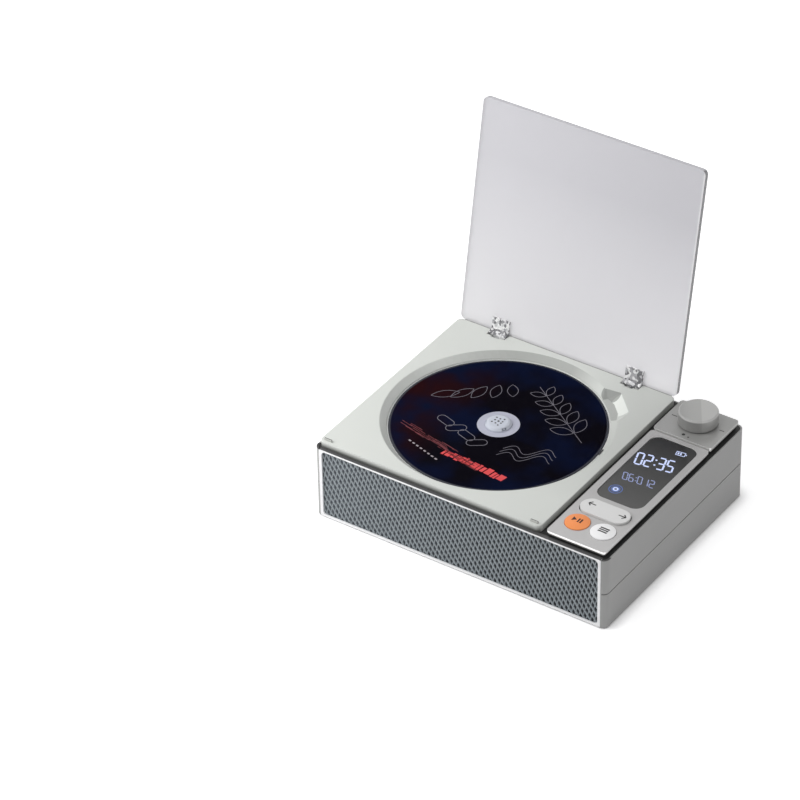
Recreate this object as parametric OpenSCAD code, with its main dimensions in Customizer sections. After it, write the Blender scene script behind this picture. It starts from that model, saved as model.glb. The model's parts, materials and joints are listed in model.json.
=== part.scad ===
// Disc player with a clear flip-up lid, a front speaker grille and a strip of controls.
// Origin: centre of the underside of the case. +X to the right, +Y to the back, +Z up.

/* [Case] */
// Width of the case
body_w = 186; // [184:1:200]
// Depth of the case, front grille to back wall
body_d = 142; // [140:1:156]
// Height of the case walls, up to the rim
shell_h = 44.7; // [43.5:0.1:50]
// Height of the seam between the two shells
seam_h = 21.9; // [18:0.1:25]
// Radius of the upright case corners
corner_r = 4; // [2:0.5:5]
// Thickness of the case walls
wall_t = 2.2; // [1.8:0.1:2.8]
// Thickness of the case floor
floor_t = 2.4; // [2:0.1:3]
// Thickness of the thin wall that is left beside the top tray
rim_t = 0.9; // [0.7:0.1:1.2]
// Width and depth of the dark reveal line along the seam
reveal = 0.6; // [0.3:0.1:0.8]
// Thickness of the top tray
tray_t = 1.6; // [1.2:0.1:2]

/* [Feet and wall slots] */
// Radius of a rubber foot
foot_r = 6; // [4:0.5:8]
// Height of a foot below the underside
foot_h = 0.8; // [0.5:0.1:2]
// Depth of the recess that holds a foot
foot_recess = 1; // [0.5:0.1:1.2]
// Distance from the case side to a foot's centre
foot_inset = 17; // [15:0.5:20]
// Distance between the two keyholes
keyhole_gap = 110; // [90:1:120]
// Distance from the case centre back to the round end of a keyhole
keyhole_y = 30; // [26:1:36]
// Radius of the round end that a screw head enters
keyhole_r = 4.2; // [3.6:0.1:4.6]
// Half the width of the narrow slot of a keyhole
keyslot_r = 2.1; // [1.6:0.1:2.4]
// Length of the narrow slot, centre to centre
keyslot_l = 8; // [6:0.5:10]
// Free height for a screw head above the case floor
keyhole_head = 4.2; // [3:0.1:4.6]

/* [Grille] */
// Width of the grille frame
grille_w = 179.4; // [176:0.2:182]
// Depth of the grille frame
grille_t = 1.8; // [1.4:0.1:2.4]
// Width of the frame's upright sides
grille_side = 1.7; // [1.5:0.1:3]
// Height of the frame's top and bottom rails
grille_rail = 1.1; // [1:0.1:2]
// Radius of the frame's inner corners
grille_corner = 2.5; // [1.5:0.5:6]
// Thickness of the mesh sheet
mesh_t = 0.8; // [0.5:0.1:1]
// Radius of a speaker's opening in the baffle
speaker_r = 16; // [13:0.5:17]
// Distance from the case side to a speaker's axis
speaker_side = 33; // [30:1:40]
// Thickness of the speaker baffle
baffle_t = 2.5; // [2:0.1:3]
// Depth of a speaker's basket
basket_d = 12; // [9:0.5:14]
// Radius of a speaker's magnet
magnet_r = 10; // [8:0.5:12]
// Thickness of a speaker's magnet
magnet_d = 8; // [5:0.5:9]

/* [Deck] */
// Distance from the case side to the deck and the control plates
edge_inset = 2.2; // [1.6:0.1:3]
// Height of the deck's top above the rim
deck_rise = 4.1; // [3.6:0.1:5]
// Thickness of the deck's top and of its bowl
deck_t = 2; // [1.5:0.1:2.4]
// Radius of the deck's corners
deck_corner = 3; // [2:0.5:6]
// Radius of the disc
disc_r = 60; // [59:0.5:60]
// Thickness of the disc
disc_t = 1.2; // [1:0.1:1.4]
// Radius of the disc's centre hole
disc_hole_r = 7.5; // [7:0.1:8]
// Depth of the disc's top face below the deck's top
disc_drop = 3.75; // [3:0.05:4.5]
// Gap between the disc and the bowl's wall
well_gap = 0.9; // [0.6:0.1:1.2]
// Width of the bowl's sloped band
well_slope = 3.7; // [2:0.1:4]
// Height of the bowl's sloped band
well_slope_h = 3.4; // [2:0.1:3.6]
// Gap between the disc and the bowl's floor
under_gap = 1.3; // [1:0.1:2]
// Distance from the disc's centre to the outer edge of the finger notch
notch_reach = 70.4; // [68:0.2:72]
// Half the width of the notch at its outer edge
notch_outer = 9.4; // [7:0.2:12]
// Half the width of the notch where it meets the bowl
notch_inner = 15; // [13:0.5:18]
// Width of the notch's sloped walls
notch_slope = 4.9; // [3:0.1:6]

/* [Control strip] */
// Width of the control plates
plate_w = 36.4; // [35:0.2:38]
// Width of the groove between the deck and the control plates
groove_w = 3.8; // [3:0.1:4.2]
// Height of the front plate's top above the rim
front_rise = 3.8; // [3.6:0.1:4.4]
// Step up from the front plate to the rear plate
rear_step = 0.7; // [0.3:0.1:1.2]
// Thickness of the control plates
plate_t = 2.8; // [2.4:0.1:3]
// Thickness of the thin metal skin on the control plates
skin_t = 1.1; // [0.8:0.1:1.4]
// Distance by which the carrier below is set back from the skin's edge
skin_lip = 0.6; // [0.3:0.1:0.8]
// Gap between the front and the rear plate
plate_gap = 0.8; // [0.5:0.1:1.5]
// Depth of the rear plate, front to back
rear_d = 30.6; // [29:0.2:33]
// Radius of the control plates' corners
plate_corner = 2; // [1:0.5:3]
// Width of the display window
window_w = 28.8; // [27:0.2:30]
// Radius of the window's corners
window_r = 6; // [3:0.5:9]
// Distance from the front plate's back edge to the window
window_back = 3; // [2.5:0.1:4]
// Length of the track rocker
rocker_l = 29.2; // [27:0.2:30]
// Width of the track rocker
rocker_w = 12.4; // [11:0.2:13]
// Distance from the window's front edge to the rocker's centre
rocker_front = 10.5; // [10:0.1:11]
// Radius of the two round buttons
button_r = 6.9; // [6:0.1:7]
// Distance between the centres of the two round buttons
button_gap = 15.8; // [15.6:0.1:17]
// Radius of the dome on the round buttons
dome_r = 30; // [20:1:60]
// Distance from the rocker's centre to the round buttons' centres
button_front = 15; // [14.8:0.1:16]
// Distance from the front plate's front edge to the round buttons' centres
button_inset = 14.7; // [13:0.1:16]
// Height of the keys above the front plate
key_rise = 1.2; // [0.8:0.1:2]
// Travel of the two round buttons
key_travel = 0.8; // [0.4:0.1:1]
// Side clearance round a key
key_gap = 0.4; // [0.3:0.05:0.5]
// Radius of the volume knob
knob_r = 11.1; // [9:0.1:12]
// Height of the volume knob
knob_h = 8; // [6:0.1:12]
// Distance from the rear plate's back edge to the knob's axis
knob_back = 13.2; // [12.6:0.1:15]
// Gap below the knob
knob_gap = 0.3; // [0.2:0.1:0.6]

/* [Lid] */
// Gap between the lid's sides and the deck's sides
lid_side_gap = 0.1; // [0:0.1:2]
// Distance by which the closed lid stops short of the deck's front edge
lid_short = 0; // [0:0.1:1]
// Thickness of the lid panel
lid_t = 2.8; // [2:0.1:3.2]
// Radius of the lid's corners
lid_corner = 3; // [2:0.5:10]
// Backward tilt of the open lid from upright
lid_tilt = 10.8; // [5:0.1:15]
// Distance from the deck's back edge forward to the hinge axis
hinge_inset = 1.7; // [1.5:0.1:2.2]
// Depth of the hinge axis below the deck's top
hinge_drop = 0.4; // [0.2:0.05:0.5]
// Distance from the hinge axis to the lid's inner face
hinge_offset = 2; // [2:0.05:2.3]
// Distance along the lid from the hinge axis to the lid's lower edge
lid_foot = 0.7; // [0.5:0.1:1.5]
// Distance from the deck's middle to a hinge
hinge_x = 43.6; // [30:0.2:50]
// Width of a hinge
hinge_w = 11; // [9:0.2:14]
// Width of a hinge's middle knuckle
knuckle_w = 5.4; // [4:0.1:6]
// Radius of a hinge knuckle
knuckle_r = 1.75; // [1.6:0.05:1.8]
// Radius of a hinge pin
pin_r = 0.8; // [0.6:0.05:1]
// Height of a hinge leaf on the lid
leaf_h = 9; // [6:0.2:12]
// Thickness of a hinge leaf
leaf_t = 1.3; // [1:0.1:1.4]
// Thickness of the dark pad below a hinge
pad_t = 0.3; // [0.2:0.05:0.5]
// Length of a lid bumper
bumper_l = 4.6; // [3:0.2:6]
// Width of a lid bumper
bumper_w = 0.9; // [0.7:0.1:2]
// Height of a lid bumper
bumper_h = 1.3; // [0.8:0.1:1.3]

/* [Disc drive] */
// Radius of the turntable below the disc
table_r = 15; // [13:0.5:15.5]
// Height of the hub's dome above the disc
hub_rise = 2.2; // [1.5:0.1:2.8]
// Radius of the spindle shaft
shaft_r = 1; // [0.8:0.05:1.5]
// Radius of the spindle motor
motor_r = 11.5; // [9:0.5:12]
// Height of the spindle motor
motor_h = 9; // [7:0.5:10]
// Distance from the bowl's underside to the chassis plate
chassis_drop = 2.8; // [2.4:0.1:3.2]
// Thickness of the chassis plate
chassis_t = 1.4; // [1.2:0.1:2]
// Distance from the disc's centre to the pickup lens at its inner stop
lens_home = 24; // [23:0.5:25]
// Travel of the pickup sled
sled_travel = 32; // [28:0.5:32]
// Distance from the sled's middle to a guide rod
rod_x = 24; // [22:0.5:25]
// Radius of a guide rod
rod_r = 1.5; // [1:0.1:1.8]
// Tooth module of the rack and of the small gear
rack_module = 0.6; // [0.6:0.05:0.65]
// Teeth on the small gear
small_teeth = 14; // [13:1:15]
// Tooth module of the large gear and of the motor pinion
wheel_module = 0.5; // [0.45:0.05:0.5]
// Teeth on the large gear
wheel_teeth = 44; // [40:1:46]
// Teeth on the motor pinion
pinion_teeth = 14; // [13:1:15]

/* [Electronics] */
// Thickness of the circuit boards
board_t = 1.6; // [1.2:0.1:2]
// Height of the main board above the case floor
board_rise = 6; // [5.8:0.1:7]
// Radius of the headphone socket's bore
jack_r = 1.8; // [1.75:0.01:1.9]
// Length of the battery pack
battery_l = 68; // [60:1:70]
// Radius of a battery cell
cell_r = 9.2; // [8:0.1:9.4]
// Distance from the case's middle to the power socket
usb_x = 30; // [20:1:40]
// Distance from the case's middle to the headphone socket
jack_x = 48; // [45:1:60]

/* [Fits] */
// Running clearance of a shaft in its bore
run_fit = 0.05; // [0.02:0.01:0.08]
// Clearance between pieces that sit beside each other
seat_gap = 0.1; // [0.05:0.05:0.2]
// Radius of a screw's shank
screw_r = 1.2; // [1:0.1:1.4]

/* [Hidden] */
fine = 96;
plain = 40;
eps = 0.01;

rim_z = shell_h;
speaker_x = body_w / 2 - speaker_side;
tray_z = rim_z - tray_t;
deck_z = rim_z + deck_rise;
front_z = rim_z + front_rise;
rear_z = front_z + rear_step;
half_w = body_w / 2;
half_d = body_d / 2;
wall_front = -half_d + grille_t;
inner_front = wall_front + wall_t;

plate_x1 = half_w - edge_inset;
plate_x0 = plate_x1 - plate_w;
plate_cx = (plate_x0 + plate_x1) / 2;
deck_x0 = -half_w + edge_inset;
deck_x1 = plate_x0 - groove_w;
deck_cx = (deck_x0 + deck_x1) / 2;
deck_w = deck_x1 - deck_x0;
deck_d = body_d - 2 * edge_inset;
deck_back = half_d - edge_inset;

disc_top_z = deck_z - disc_drop;
disc_z = disc_top_z - disc_t;
well_r = disc_r + well_gap;
well_top_r = well_r + well_slope;
well_floor = disc_z - under_gap;
bowl_z = well_floor - deck_t;
bowl_r = well_r + deck_t;

rear_y1 = deck_back;
rear_y0 = rear_y1 - rear_d;
front_y1 = rear_y0 - plate_gap;
front_y0 = -deck_back;
window_y1 = front_y1 - window_back;
button_y = front_y0 + button_inset;
rocker_y = button_y + button_front;
window_y0 = rocker_y + rocker_front;
window_l = window_y1 - window_y0;
window_cy = (window_y0 + window_y1) / 2;
knob_y = rear_y1 - knob_back;
key_top = front_z + key_rise;
front_under = front_z - plate_t;
rear_under = rear_z - plate_t;
lens_flange = front_under - rim_z;
lens_recess = 0.4;
control_z = tray_z - 5;
switch_h = 3.4;
switch_w = 5;
switch_z = control_z + switch_h;
stem_r = 1.2;
stem_dip = 0.6;
stem_play = 0.35;
rocker_stem_x = rocker_l / 2 - 5;
rocker_axis_z = rim_z - 0.1;

chassis_z1 = bowl_z - chassis_drop;
chassis_z0 = chassis_z1 - chassis_t;
sled_z1 = chassis_z0 - 1;
sled_z0 = sled_z1 - 6;
rod_z = (sled_z0 + sled_z1) / 2;
sled_half = rod_x + 3;
sled_y0 = motor_r + 1;
sled_y1 = lens_home + 9;
lug_t = 2;
rod_y0 = sled_y0 - 1 - lug_t;
rod_y1 = sled_y1 + sled_travel + 0.4 + lug_t;
mesh_gap = 0.05;
rack_r = rack_module * small_teeth / 2;
gear_x = deck_cx + sled_half + 1.9 + 1.2 * rack_module + mesh_gap + rack_r;
gear_y = 20;
wheel_r = wheel_module * wheel_teeth / 2;
pinion_r = wheel_module * pinion_teeth / 2;
mesh_angle = -60;
pinion_x = gear_x + (wheel_r + pinion_r + mesh_gap) * cos(mesh_angle);
pinion_y = gear_y + (wheel_r + pinion_r + mesh_gap) * sin(mesh_angle);
small_z0 = sled_z0 + 0.2;
wheel_z1 = sled_z0 - 0.5;
wheel_h = 2.2;
wheel_z0 = wheel_z1 - wheel_h;
drive_motor_r = 6.5;
damper_x = 36;
damper_front = -20;
damper_back = 46;
damper_r = 4.6;
boss_r = 2.2;

post_inset = 5.6;
post_r = 3.6;
post_x = half_w - post_inset;
post_front = wall_front + post_inset;
post_back = half_d - post_inset;
board_z = floor_t + board_rise;
board_x0 = -8;
board_x1 = half_w - 12;
board_y0 = -24;
board_y1 = half_d - wall_t - 1.2;
board_hole = 4;

function post_places() = [for (x = [-post_x, post_x]) for (y = [post_front, post_back]) [x, y]];
function board_places() = [for (x = [board_x0 + board_hole, board_x1 - board_hole])
    for (y = [board_y0 + board_hole, board_y1 - 12]) [x, y]];
function control_places() = [for (x = [-1, 1])
    for (y = [rocker_y - 7.8, rear_y0 + 3]) [plate_cx + x * (plate_w / 2 - 3.2), y]];
function damper_places() = [for (x = [-damper_x, damper_x])
    for (y = [damper_front, damper_back]) [deck_cx + x, y]];

// A flat rectangle with round corners, centred
module round_rect(w, d, r) {
    square([w - 2 * r, d], center = true);
    square([w, d - 2 * r], center = true);
    for (x = [-1, 1])
        for (y = [-1, 1])
            translate([x * (w / 2 - r), y * (d / 2 - r)])
                circle(r, $fn = plain);
}

// A slab with round corners, from height z0 to height z1
module slab(w, d, r, z0, z1) {
    translate([0, 0, z0])
        linear_extrude(z1 - z0)
            round_rect(w, d, r);
}

module rod(r, z0, z1) {
    translate([0, 0, z0])
        cylinder(r = r, h = z1 - z0, $fn = plain);
}

// The outline of the case, with the step at the front that takes the grille
module case_outline(inset = 0) {
    difference() {
        round_rect(body_w - 2 * inset, body_d - 2 * inset, corner_r - inset / 2);
        translate([-grille_w / 2 - seat_gap, -half_d - 1])
            square([grille_w + 2 * seat_gap, grille_t + 1 + inset]);
    }
}

module case_inside() {
    translate([-half_w + wall_t, inner_front])
        square([body_w - 2 * wall_t, half_d - wall_t - inner_front]);
}

module keyhole_cut() {
    rod(keyhole_r, -1, floor_t + 1);
    translate([0, keyslot_l, 0])
        rod(keyslot_r, -1, floor_t + 1);
    translate([-keyslot_r, 0, -1])
        cube([2 * keyslot_r, keyslot_l, floor_t + 2]);
}

// A closed pocket over a keyhole keeps screw heads off the electronics
module keyhole_pocket() {
    room = keyhole_r + 0.8;
    skin = 1.1;
    tall = floor_t + keyhole_head;
    difference() {
        translate([-room - skin, -room - skin, floor_t - eps])
            cube([2 * (room + skin), keyslot_l + 2 * (room + skin), keyhole_head + skin]);
        translate([-room, -room, floor_t - 2 * eps])
            cube([2 * room, keyslot_l + 2 * room, tall - floor_t]);
    }
}

module socket_cuts() {
    usb_clear = 0.2;
    translate([usb_x, half_d, board_z + board_t + 1.75])
        rotate([90, 0, 0])
            linear_extrude(2 * wall_t, center = true)
                round_rect(9 + 2 * usb_clear, 3.3 + 2 * usb_clear, 1.6);
    translate([jack_x, half_d, board_z + board_t + 3.2])
        rotate([90, 0, 0])
            cylinder(r = 3 + usb_clear, h = 2 * wall_t, center = true, $fn = plain);
}

module lower_shell() {
    color("#8b8b89")
    difference() {
        union() {
            difference() {
                linear_extrude(seam_h) case_outline();
                translate([0, 0, floor_t])
                    linear_extrude(seam_h) case_inside();
                translate([-grille_w / 2 + wall_t + 4, -half_d, floor_t + 3])
                    cube([grille_w - 2 * wall_t - 8, grille_t + 2 * wall_t, seam_h]);
            }
            for (p = post_places())
                translate(p) rod(post_r, floor_t - eps, seam_h);
            for (p = board_places())
                translate(p) rod(2.8, floor_t - eps, board_z);
            for (x = [-1, 1])
                translate([x * keyhole_gap / 2, keyhole_y, 0]) keyhole_pocket();
            battery_ribs();
        }
        for (p = post_places()) {
            translate(p) rod(screw_r + 0.3, -1, seam_h + 1);
            translate(p) rod(2 * screw_r + 0.4, -1, seam_h - 7);
        }
        for (p = board_places())
            translate(p) rod(screw_r + run_fit, floor_t, board_z + 1);
        for (x = [-1, 1])
            translate([x * keyhole_gap / 2, keyhole_y, 0]) keyhole_cut();
        for (x = [-1, 1])
            for (y = [-1, 1])
                translate([x * (half_w - foot_inset), y * (half_d - foot_inset), 0])
                    rod(foot_r + seat_gap, -1, foot_recess);
        socket_cuts();
    }
}

module upper_shell() {
    color("#8b8b89")
    difference() {
        union() {
            difference() {
                translate([0, 0, seam_h])
                    linear_extrude(rim_z - seam_h) case_outline();
                translate([0, 0, seam_h - 1])
                    linear_extrude(shell_h) case_inside();
                translate([0, 0, tray_z])
                    linear_extrude(shell_h) case_outline(rim_t);
                translate([-grille_w / 2 + wall_t + 4, -half_d, seam_h - 1])
                    cube([grille_w - 2 * wall_t - 8, grille_t + 2 * wall_t, tray_z - seam_h - 2]);
            }
            for (p = post_places())
                translate(p) rod(post_r, seam_h, tray_z);
        }
        for (p = post_places())
            translate(p) rod(screw_r + run_fit, seam_h - 1, seam_h + 14);
        translate([0, 0, seam_h - eps])
            linear_extrude(reveal)
                difference() {
                    square([2 * body_w, 2 * body_d], center = true);
                    round_rect(body_w - 2 * reveal, body_d - 2 * reveal, corner_r - reveal);
                }
    }
}

// The raised pads of the tray carry the control plates
module tray_pad(y0, y1, top) {
    rest = 1.6;
    translate([plate_x0 + rest, y0 + rest, rim_z - eps])
        cube([plate_w - 2 * rest, y1 - y0 - 2 * rest, top - rim_z]);
}

module top_tray() {
    lip = 1.5;
    color("#151515")
    difference() {
        union() {
            translate([0, 0, tray_z])
                linear_extrude(tray_t) case_outline(rim_t + seat_gap);
            difference() {
                tray_pad(front_y0, front_y1, front_under);
                translate([plate_cx, window_cy, 0])
                    slab(window_w + 2 * lip + 0.4, window_l + 2 * lip + 0.4, window_r, rim_z, front_z);
            }
            tray_pad(rear_y0, rear_y1, rear_under);
            for (p = control_places())
                translate(p) rod(2.4, control_z, tray_z + eps);
            for (y = [-1, 1])
                translate([plate_cx - 1.6, rocker_y + y * (rocker_w / 2 + 1.5) - 1, rocker_axis_z - 2])
                    cube([3.2, 2, front_under - rocker_axis_z + 2]);
        }
        translate([deck_cx, 0, 0]) rod(bowl_r + 0.6, tray_z - 1, rim_z + 1);
        translate([deck_cx, 0, tray_z - 1])
            linear_extrude(tray_t + 2)
                sensor_room();
        translate([plate_cx, window_cy, 0])
            slab(window_w - 1.4, window_l - 2.4, 1.2, tray_z - 1, front_z);
        difference() {
            translate([plate_cx, rocker_y, tray_z - 1])
                linear_extrude(front_z)
                    round_rect(rocker_l + 2, rocker_w + 1.2, rocker_w / 2);
            for (y = [-1, 1])
                translate([plate_cx - 1.6, rocker_y + y * (rocker_w / 2 + 1.5) - 1, rocker_axis_z - 2])
                    cube([3.2, 2, front_z]);
        }
        for (x = [-1, 1])
            translate([plate_cx + x * button_gap / 2, button_y, 0])
                rod(button_r + 0.6, tray_z - 1, front_z);
        translate([plate_cx, knob_y, 0])
            slab(12.6, 12.6, 1, tray_z - 1, rear_z);
        for (p = control_places())
            translate(p) rod(screw_r + run_fit, control_z - 1, tray_z);
        translate([plate_cx, rocker_y, rocker_axis_z])
            rotate([90, 0, 0])
                cylinder(r = pin_r, h = rocker_w + 4.8, center = true, $fn = plain);
    }
}

module rubber_feet() {
    color("#2b2b2b")
    for (x = [-1, 1])
        for (y = [-1, 1])
            translate([x * (half_w - foot_inset), y * (half_d - foot_inset), 0])
                rod(foot_r, -foot_h, foot_recess);
}

module case_screws() {
    head_z = seam_h - 7;
    color("#3a3a3c")
    for (p = post_places())
        translate(p) {
            difference() {
                rod(2 * screw_r, head_z - 2, head_z);
                rod(screw_r, head_z - 3, head_z - 1, $fn = 6);
            }
            rod(screw_r, head_z - eps, seam_h + 12);
        }
}

module frame_opening(grow = 0) {
    round_rect(grille_w - 2 * grille_side + 2 * grow, shell_h - 2 * grille_rail + 2 * grow,
        grille_corner);
}

module grille_frame() {
    color("#e9e9ea")
    translate([0, -half_d + grille_t, shell_h / 2])
        rotate([90, 0, 0])
            difference() {
                linear_extrude(grille_t)
                    round_rect(grille_w, shell_h, 1);
                translate([0, 0, -1])
                    linear_extrude(grille_t + 2) frame_opening();
                translate([0, 0, -1])
                    linear_extrude(mesh_t + 1 + seat_gap) frame_opening(0.7);
            }
}

module grille_mesh() {
    color("#6f7a7f")
    translate([0, -half_d + grille_t, shell_h / 2])
        rotate([90, 0, 0])
            linear_extrude(mesh_t)
                frame_opening(0.6);
}

module speaker_baffle() {
    height = tray_z - floor_t - 0.6;
    color("#1b1c1e")
    translate([0, inner_front + baffle_t, floor_t + 0.3 + height / 2])
        rotate([90, 0, 0])
            difference() {
                linear_extrude(baffle_t)
                    square([body_w - 4 * post_inset - 1, height], center = true);
                for (x = [-1, 1])
                    translate([x * speaker_x, 0, -1])
                        cylinder(r = speaker_r, h = baffle_t + 2, $fn = fine);
            }
}

// Carries its children to each speaker's axis, with +Z pointing to the back
module at_speakers() {
    for (x = [-1, 1])
        translate([x * speaker_x, inner_front + baffle_t, floor_t + (tray_z - floor_t) / 2])
            rotate([-90, 0, 0])
                children();
}

module speaker_baskets() {
    color("#4a4c50")
    at_speakers()
        rotate_extrude($fn = fine)
            polygon([[speaker_r + 2, 0], [speaker_r + 2, 1.4], [speaker_r, 2.4],
                [magnet_r + 1, basket_d], [6, basket_d], [6, basket_d - 1.2],
                [magnet_r, basket_d - 1.2], [speaker_r - 1.2, 2], [speaker_r - 1.2, 0]]);
}

module speaker_cones() {
    color("#26272a")
    at_speakers()
        rotate_extrude($fn = fine)
            polygon([[0, 6.2], [4, 6.2], [4.6, 5.4], [speaker_r - 4, 0.8], [speaker_r - 1.5, 0.3],
                [speaker_r - 1.5, 1], [speaker_r - 4, 1.5], [5, 6.6], [5, basket_d - 1.5],
                [4.2, basket_d - 1.5], [4.2, 6.9], [0, 6.9]]);
}

module speaker_magnets() {
    color("#8f9193")
    at_speakers()
        rod(magnet_r, basket_d, basket_d + magnet_d);
}

// The finger notch: a pocket with sloped walls at 45 degrees from the disc's centre
module notch_shape(reach, outer, inner, z) {
    mouth = well_r - 9;
    translate([0, 0, z])
        linear_extrude(eps)
            polygon([[mouth, -inner], [well_r + 2.4, -inner], [reach, -outer],
                [reach, outer], [well_r + 2.4, inner], [mouth, inner]]);
}

module notch_cut() {
    low = rim_z + 0.5;
    rotate([0, 0, 45])
        hull() {
            notch_shape(notch_reach, notch_outer, notch_inner, deck_z + eps);
            notch_shape(notch_reach - notch_slope, notch_outer - notch_slope,
                notch_inner - notch_slope, low);
        }
}

module notch_block() {
    rotate([0, 0, 45])
        translate([well_r - 3, -notch_inner - 2, rim_z])
            cube([notch_reach + 2 - well_r + 3, 2 * notch_inner + 4, deck_rise - eps]);
}

module bowl_outside() {
    rotate_extrude($fn = fine)
        polygon([[0, bowl_z], [bowl_r, bowl_z], [bowl_r, deck_z - well_slope_h - 0.6],
            [well_top_r + deck_t, deck_z - 0.8], [well_top_r + deck_t, deck_z - eps],
            [0, deck_z - eps]]);
}

module bowl_inside() {
    rotate_extrude($fn = fine)
        polygon([[0, well_floor], [well_r, well_floor], [well_r, deck_z - well_slope_h],
            [well_top_r, deck_z], [well_top_r, deck_z + 1], [0, deck_z + 1]]);
}

sensor_turn = 7;
module sensor_room() {
    rotate([0, 0, sensor_turn])
        translate([well_r - 1, -3.4])
            square([6, 6.8]);
}

// The pocket in the deck that the hinge's knuckles turn in
module hinge_pocket() {
    reach = knuckle_r + 1.4;
    translate([-hinge_w / 2 - 0.4, -reach, 0])
        cube([hinge_w + 0.8, reach + hinge_inset + 1, deck_z]);
    translate([-knuckle_w / 2, -reach - 1, 0])
        cube([knuckle_w, reach, deck_z]);
}

module deck_plate() {
    skirt = 2;
    turret = 9;
    color("#d3d6d0")
    translate([deck_cx, 0, 0])
        difference() {
            union() {
                difference() {
                    slab(deck_w, deck_d, deck_corner, rim_z, deck_z);
                    slab(deck_w - 2 * skirt, deck_d - 2 * skirt, deck_corner - 1, rim_z - 1, deck_z - deck_t);
                }
                bowl_outside();
                notch_block();
                for (p = damper_places())
                    translate([p[0] - deck_cx, p[1], 0]) rod(boss_r, chassis_z0 - 3, bowl_z + eps);
                for (x = [-1, 1])
                    translate([x * hinge_x - hinge_w / 2 - 2, hinge_y - 6, rim_z])
                        cube([hinge_w + 4, 6, deck_t]);
            }
            for (x = [-1, 1])
                translate([x * hinge_x, hinge_y, pocket_z]) hinge_pocket();
            bowl_inside();
            notch_cut();
            rod(table_r + 1.2, bowl_z - 1, well_floor + 1);
            translate([-turret, 0, bowl_z - 1])
                cube([2 * turret, well_r - 0.2, deck_t + 2]);
            rotate([0, 0, sensor_turn])
                translate([well_r - 0.5, -2.6, disc_top_z - 1.2])
                    cube([3.6, 5.2, 2.6]);
            for (p = damper_places())
                translate([p[0] - deck_cx, p[1], 0]) rod(screw_r + run_fit - 0.4, chassis_z0 - 4, bowl_z - 0.6);
        }
}

// A control plate: a thin skin on a carrier whose edge is set back
module skin_and_carrier(d, z0, z1) {
    slab(plate_w, d, plate_corner, z1 - skin_t, z1);
    slab(plate_w - 2 * skin_lip, d - 2 * skin_lip, plate_corner - skin_lip, z0, z1 - skin_t + eps);
}

module front_plate() {
    color("#c8c6c3")
    difference() {
        translate([plate_cx, (front_y0 + front_y1) / 2, 0])
            skin_and_carrier(front_y1 - front_y0, front_under, front_z);
        translate([plate_cx, window_cy, 0])
            slab(window_w, window_l, window_r, front_under - 1, front_z + 1);
        translate([plate_cx, rocker_y, 0])
            slab(rocker_l + 2 * key_gap, rocker_w + 2 * key_gap, rocker_w / 2, front_under - 1, front_z + 1);
        for (x = [-1, 1])
            translate([plate_cx + x * button_gap / 2, button_y, 0])
                rod(button_r + key_gap / 2, front_under - 1, front_z + 1);
    }
}

module rear_plate() {
    color("#c8c6c3")
    difference() {
        translate([plate_cx, (rear_y0 + rear_y1) / 2, 0])
            skin_and_carrier(rear_d, rear_under, rear_z);
        translate([plate_cx, knob_y, 0])
            rod(3.6, rear_under - 1, rear_z + 1);
    }
}

module display_lens() {
    lip = 1.5;
    color("#4a4c50")
    translate([plate_cx, window_cy, 0]) {
        slab(window_w - 2 * seat_gap, window_l - 2 * seat_gap, window_r - seat_gap,
            front_under - eps, front_z - lens_recess);
        slab(window_w + 2 * lip, window_l + 2 * lip, window_r,
            front_under - lens_flange, front_under);
    }
}

module display_module() {
    color("#17191d")
    translate([plate_cx, window_cy, 0])
        slab(window_w - 2, window_l - 3, 1, control_z, front_under - lens_flange - seat_gap);
}

module control_board() {
    color("#1f5a3a")
    difference() {
        union() {
            translate([plate_x0 + 1, button_y - 4.6, control_z - board_t])
                cube([plate_w - 2, rear_y1 - 8.4 - button_y + 4.6, board_t]);
            translate([plate_x0 + 1, rear_y1 - 9, control_z - board_t])
                cube([post_x - post_r - 0.6 - plate_x0 - 1, 6, board_t]);
        }
        for (p = control_places())
            translate(p) rod(screw_r + 0.2, control_z - board_t - 1, control_z + 1);
    }
}

// The four switches below the keys; each key's stem is the plunger of its switch
module key_switches() {
    color("#303236")
    for (p = [[-button_gap / 2, button_y], [button_gap / 2, button_y],
            [-rocker_stem_x, rocker_y], [rocker_stem_x, rocker_y]])
        translate([plate_cx + p[0], p[1], 0])
            difference() {
                slab(switch_w, switch_w, 0.5, control_z, switch_z);
                rod(stem_r + stem_play, control_z + 0.8, switch_z + 1);
            }
}

module board_screws() {
    color("#c9cacc")
    for (p = control_places())
        translate(p) {
            rod(2 * screw_r - 0.3, control_z - board_t - 1.4, control_z - board_t);
            rod(screw_r, control_z - board_t - eps, tray_z - 1);
        }
}

module round_key() {
    flange_t = 0.6;
    flange_z = front_under - 0.2;
    intersection() {
        rod(button_r, flange_z - eps, key_top + 1);
        translate([0, 0, key_top - dome_r]) sphere(dome_r, $fn = fine);
    }
    rod(button_r + 0.5, flange_z - flange_t, flange_z);
    rod(stem_r, switch_z - stem_dip, flange_z);
}

module power_button() {
    color("#f08a4b")
    translate([plate_cx - button_gap / 2, button_y, 0]) round_key();
}

module mode_button() {
    color("#f4f4f4")
    translate([plate_cx + button_gap / 2, button_y, 0]) round_key();
}

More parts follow.
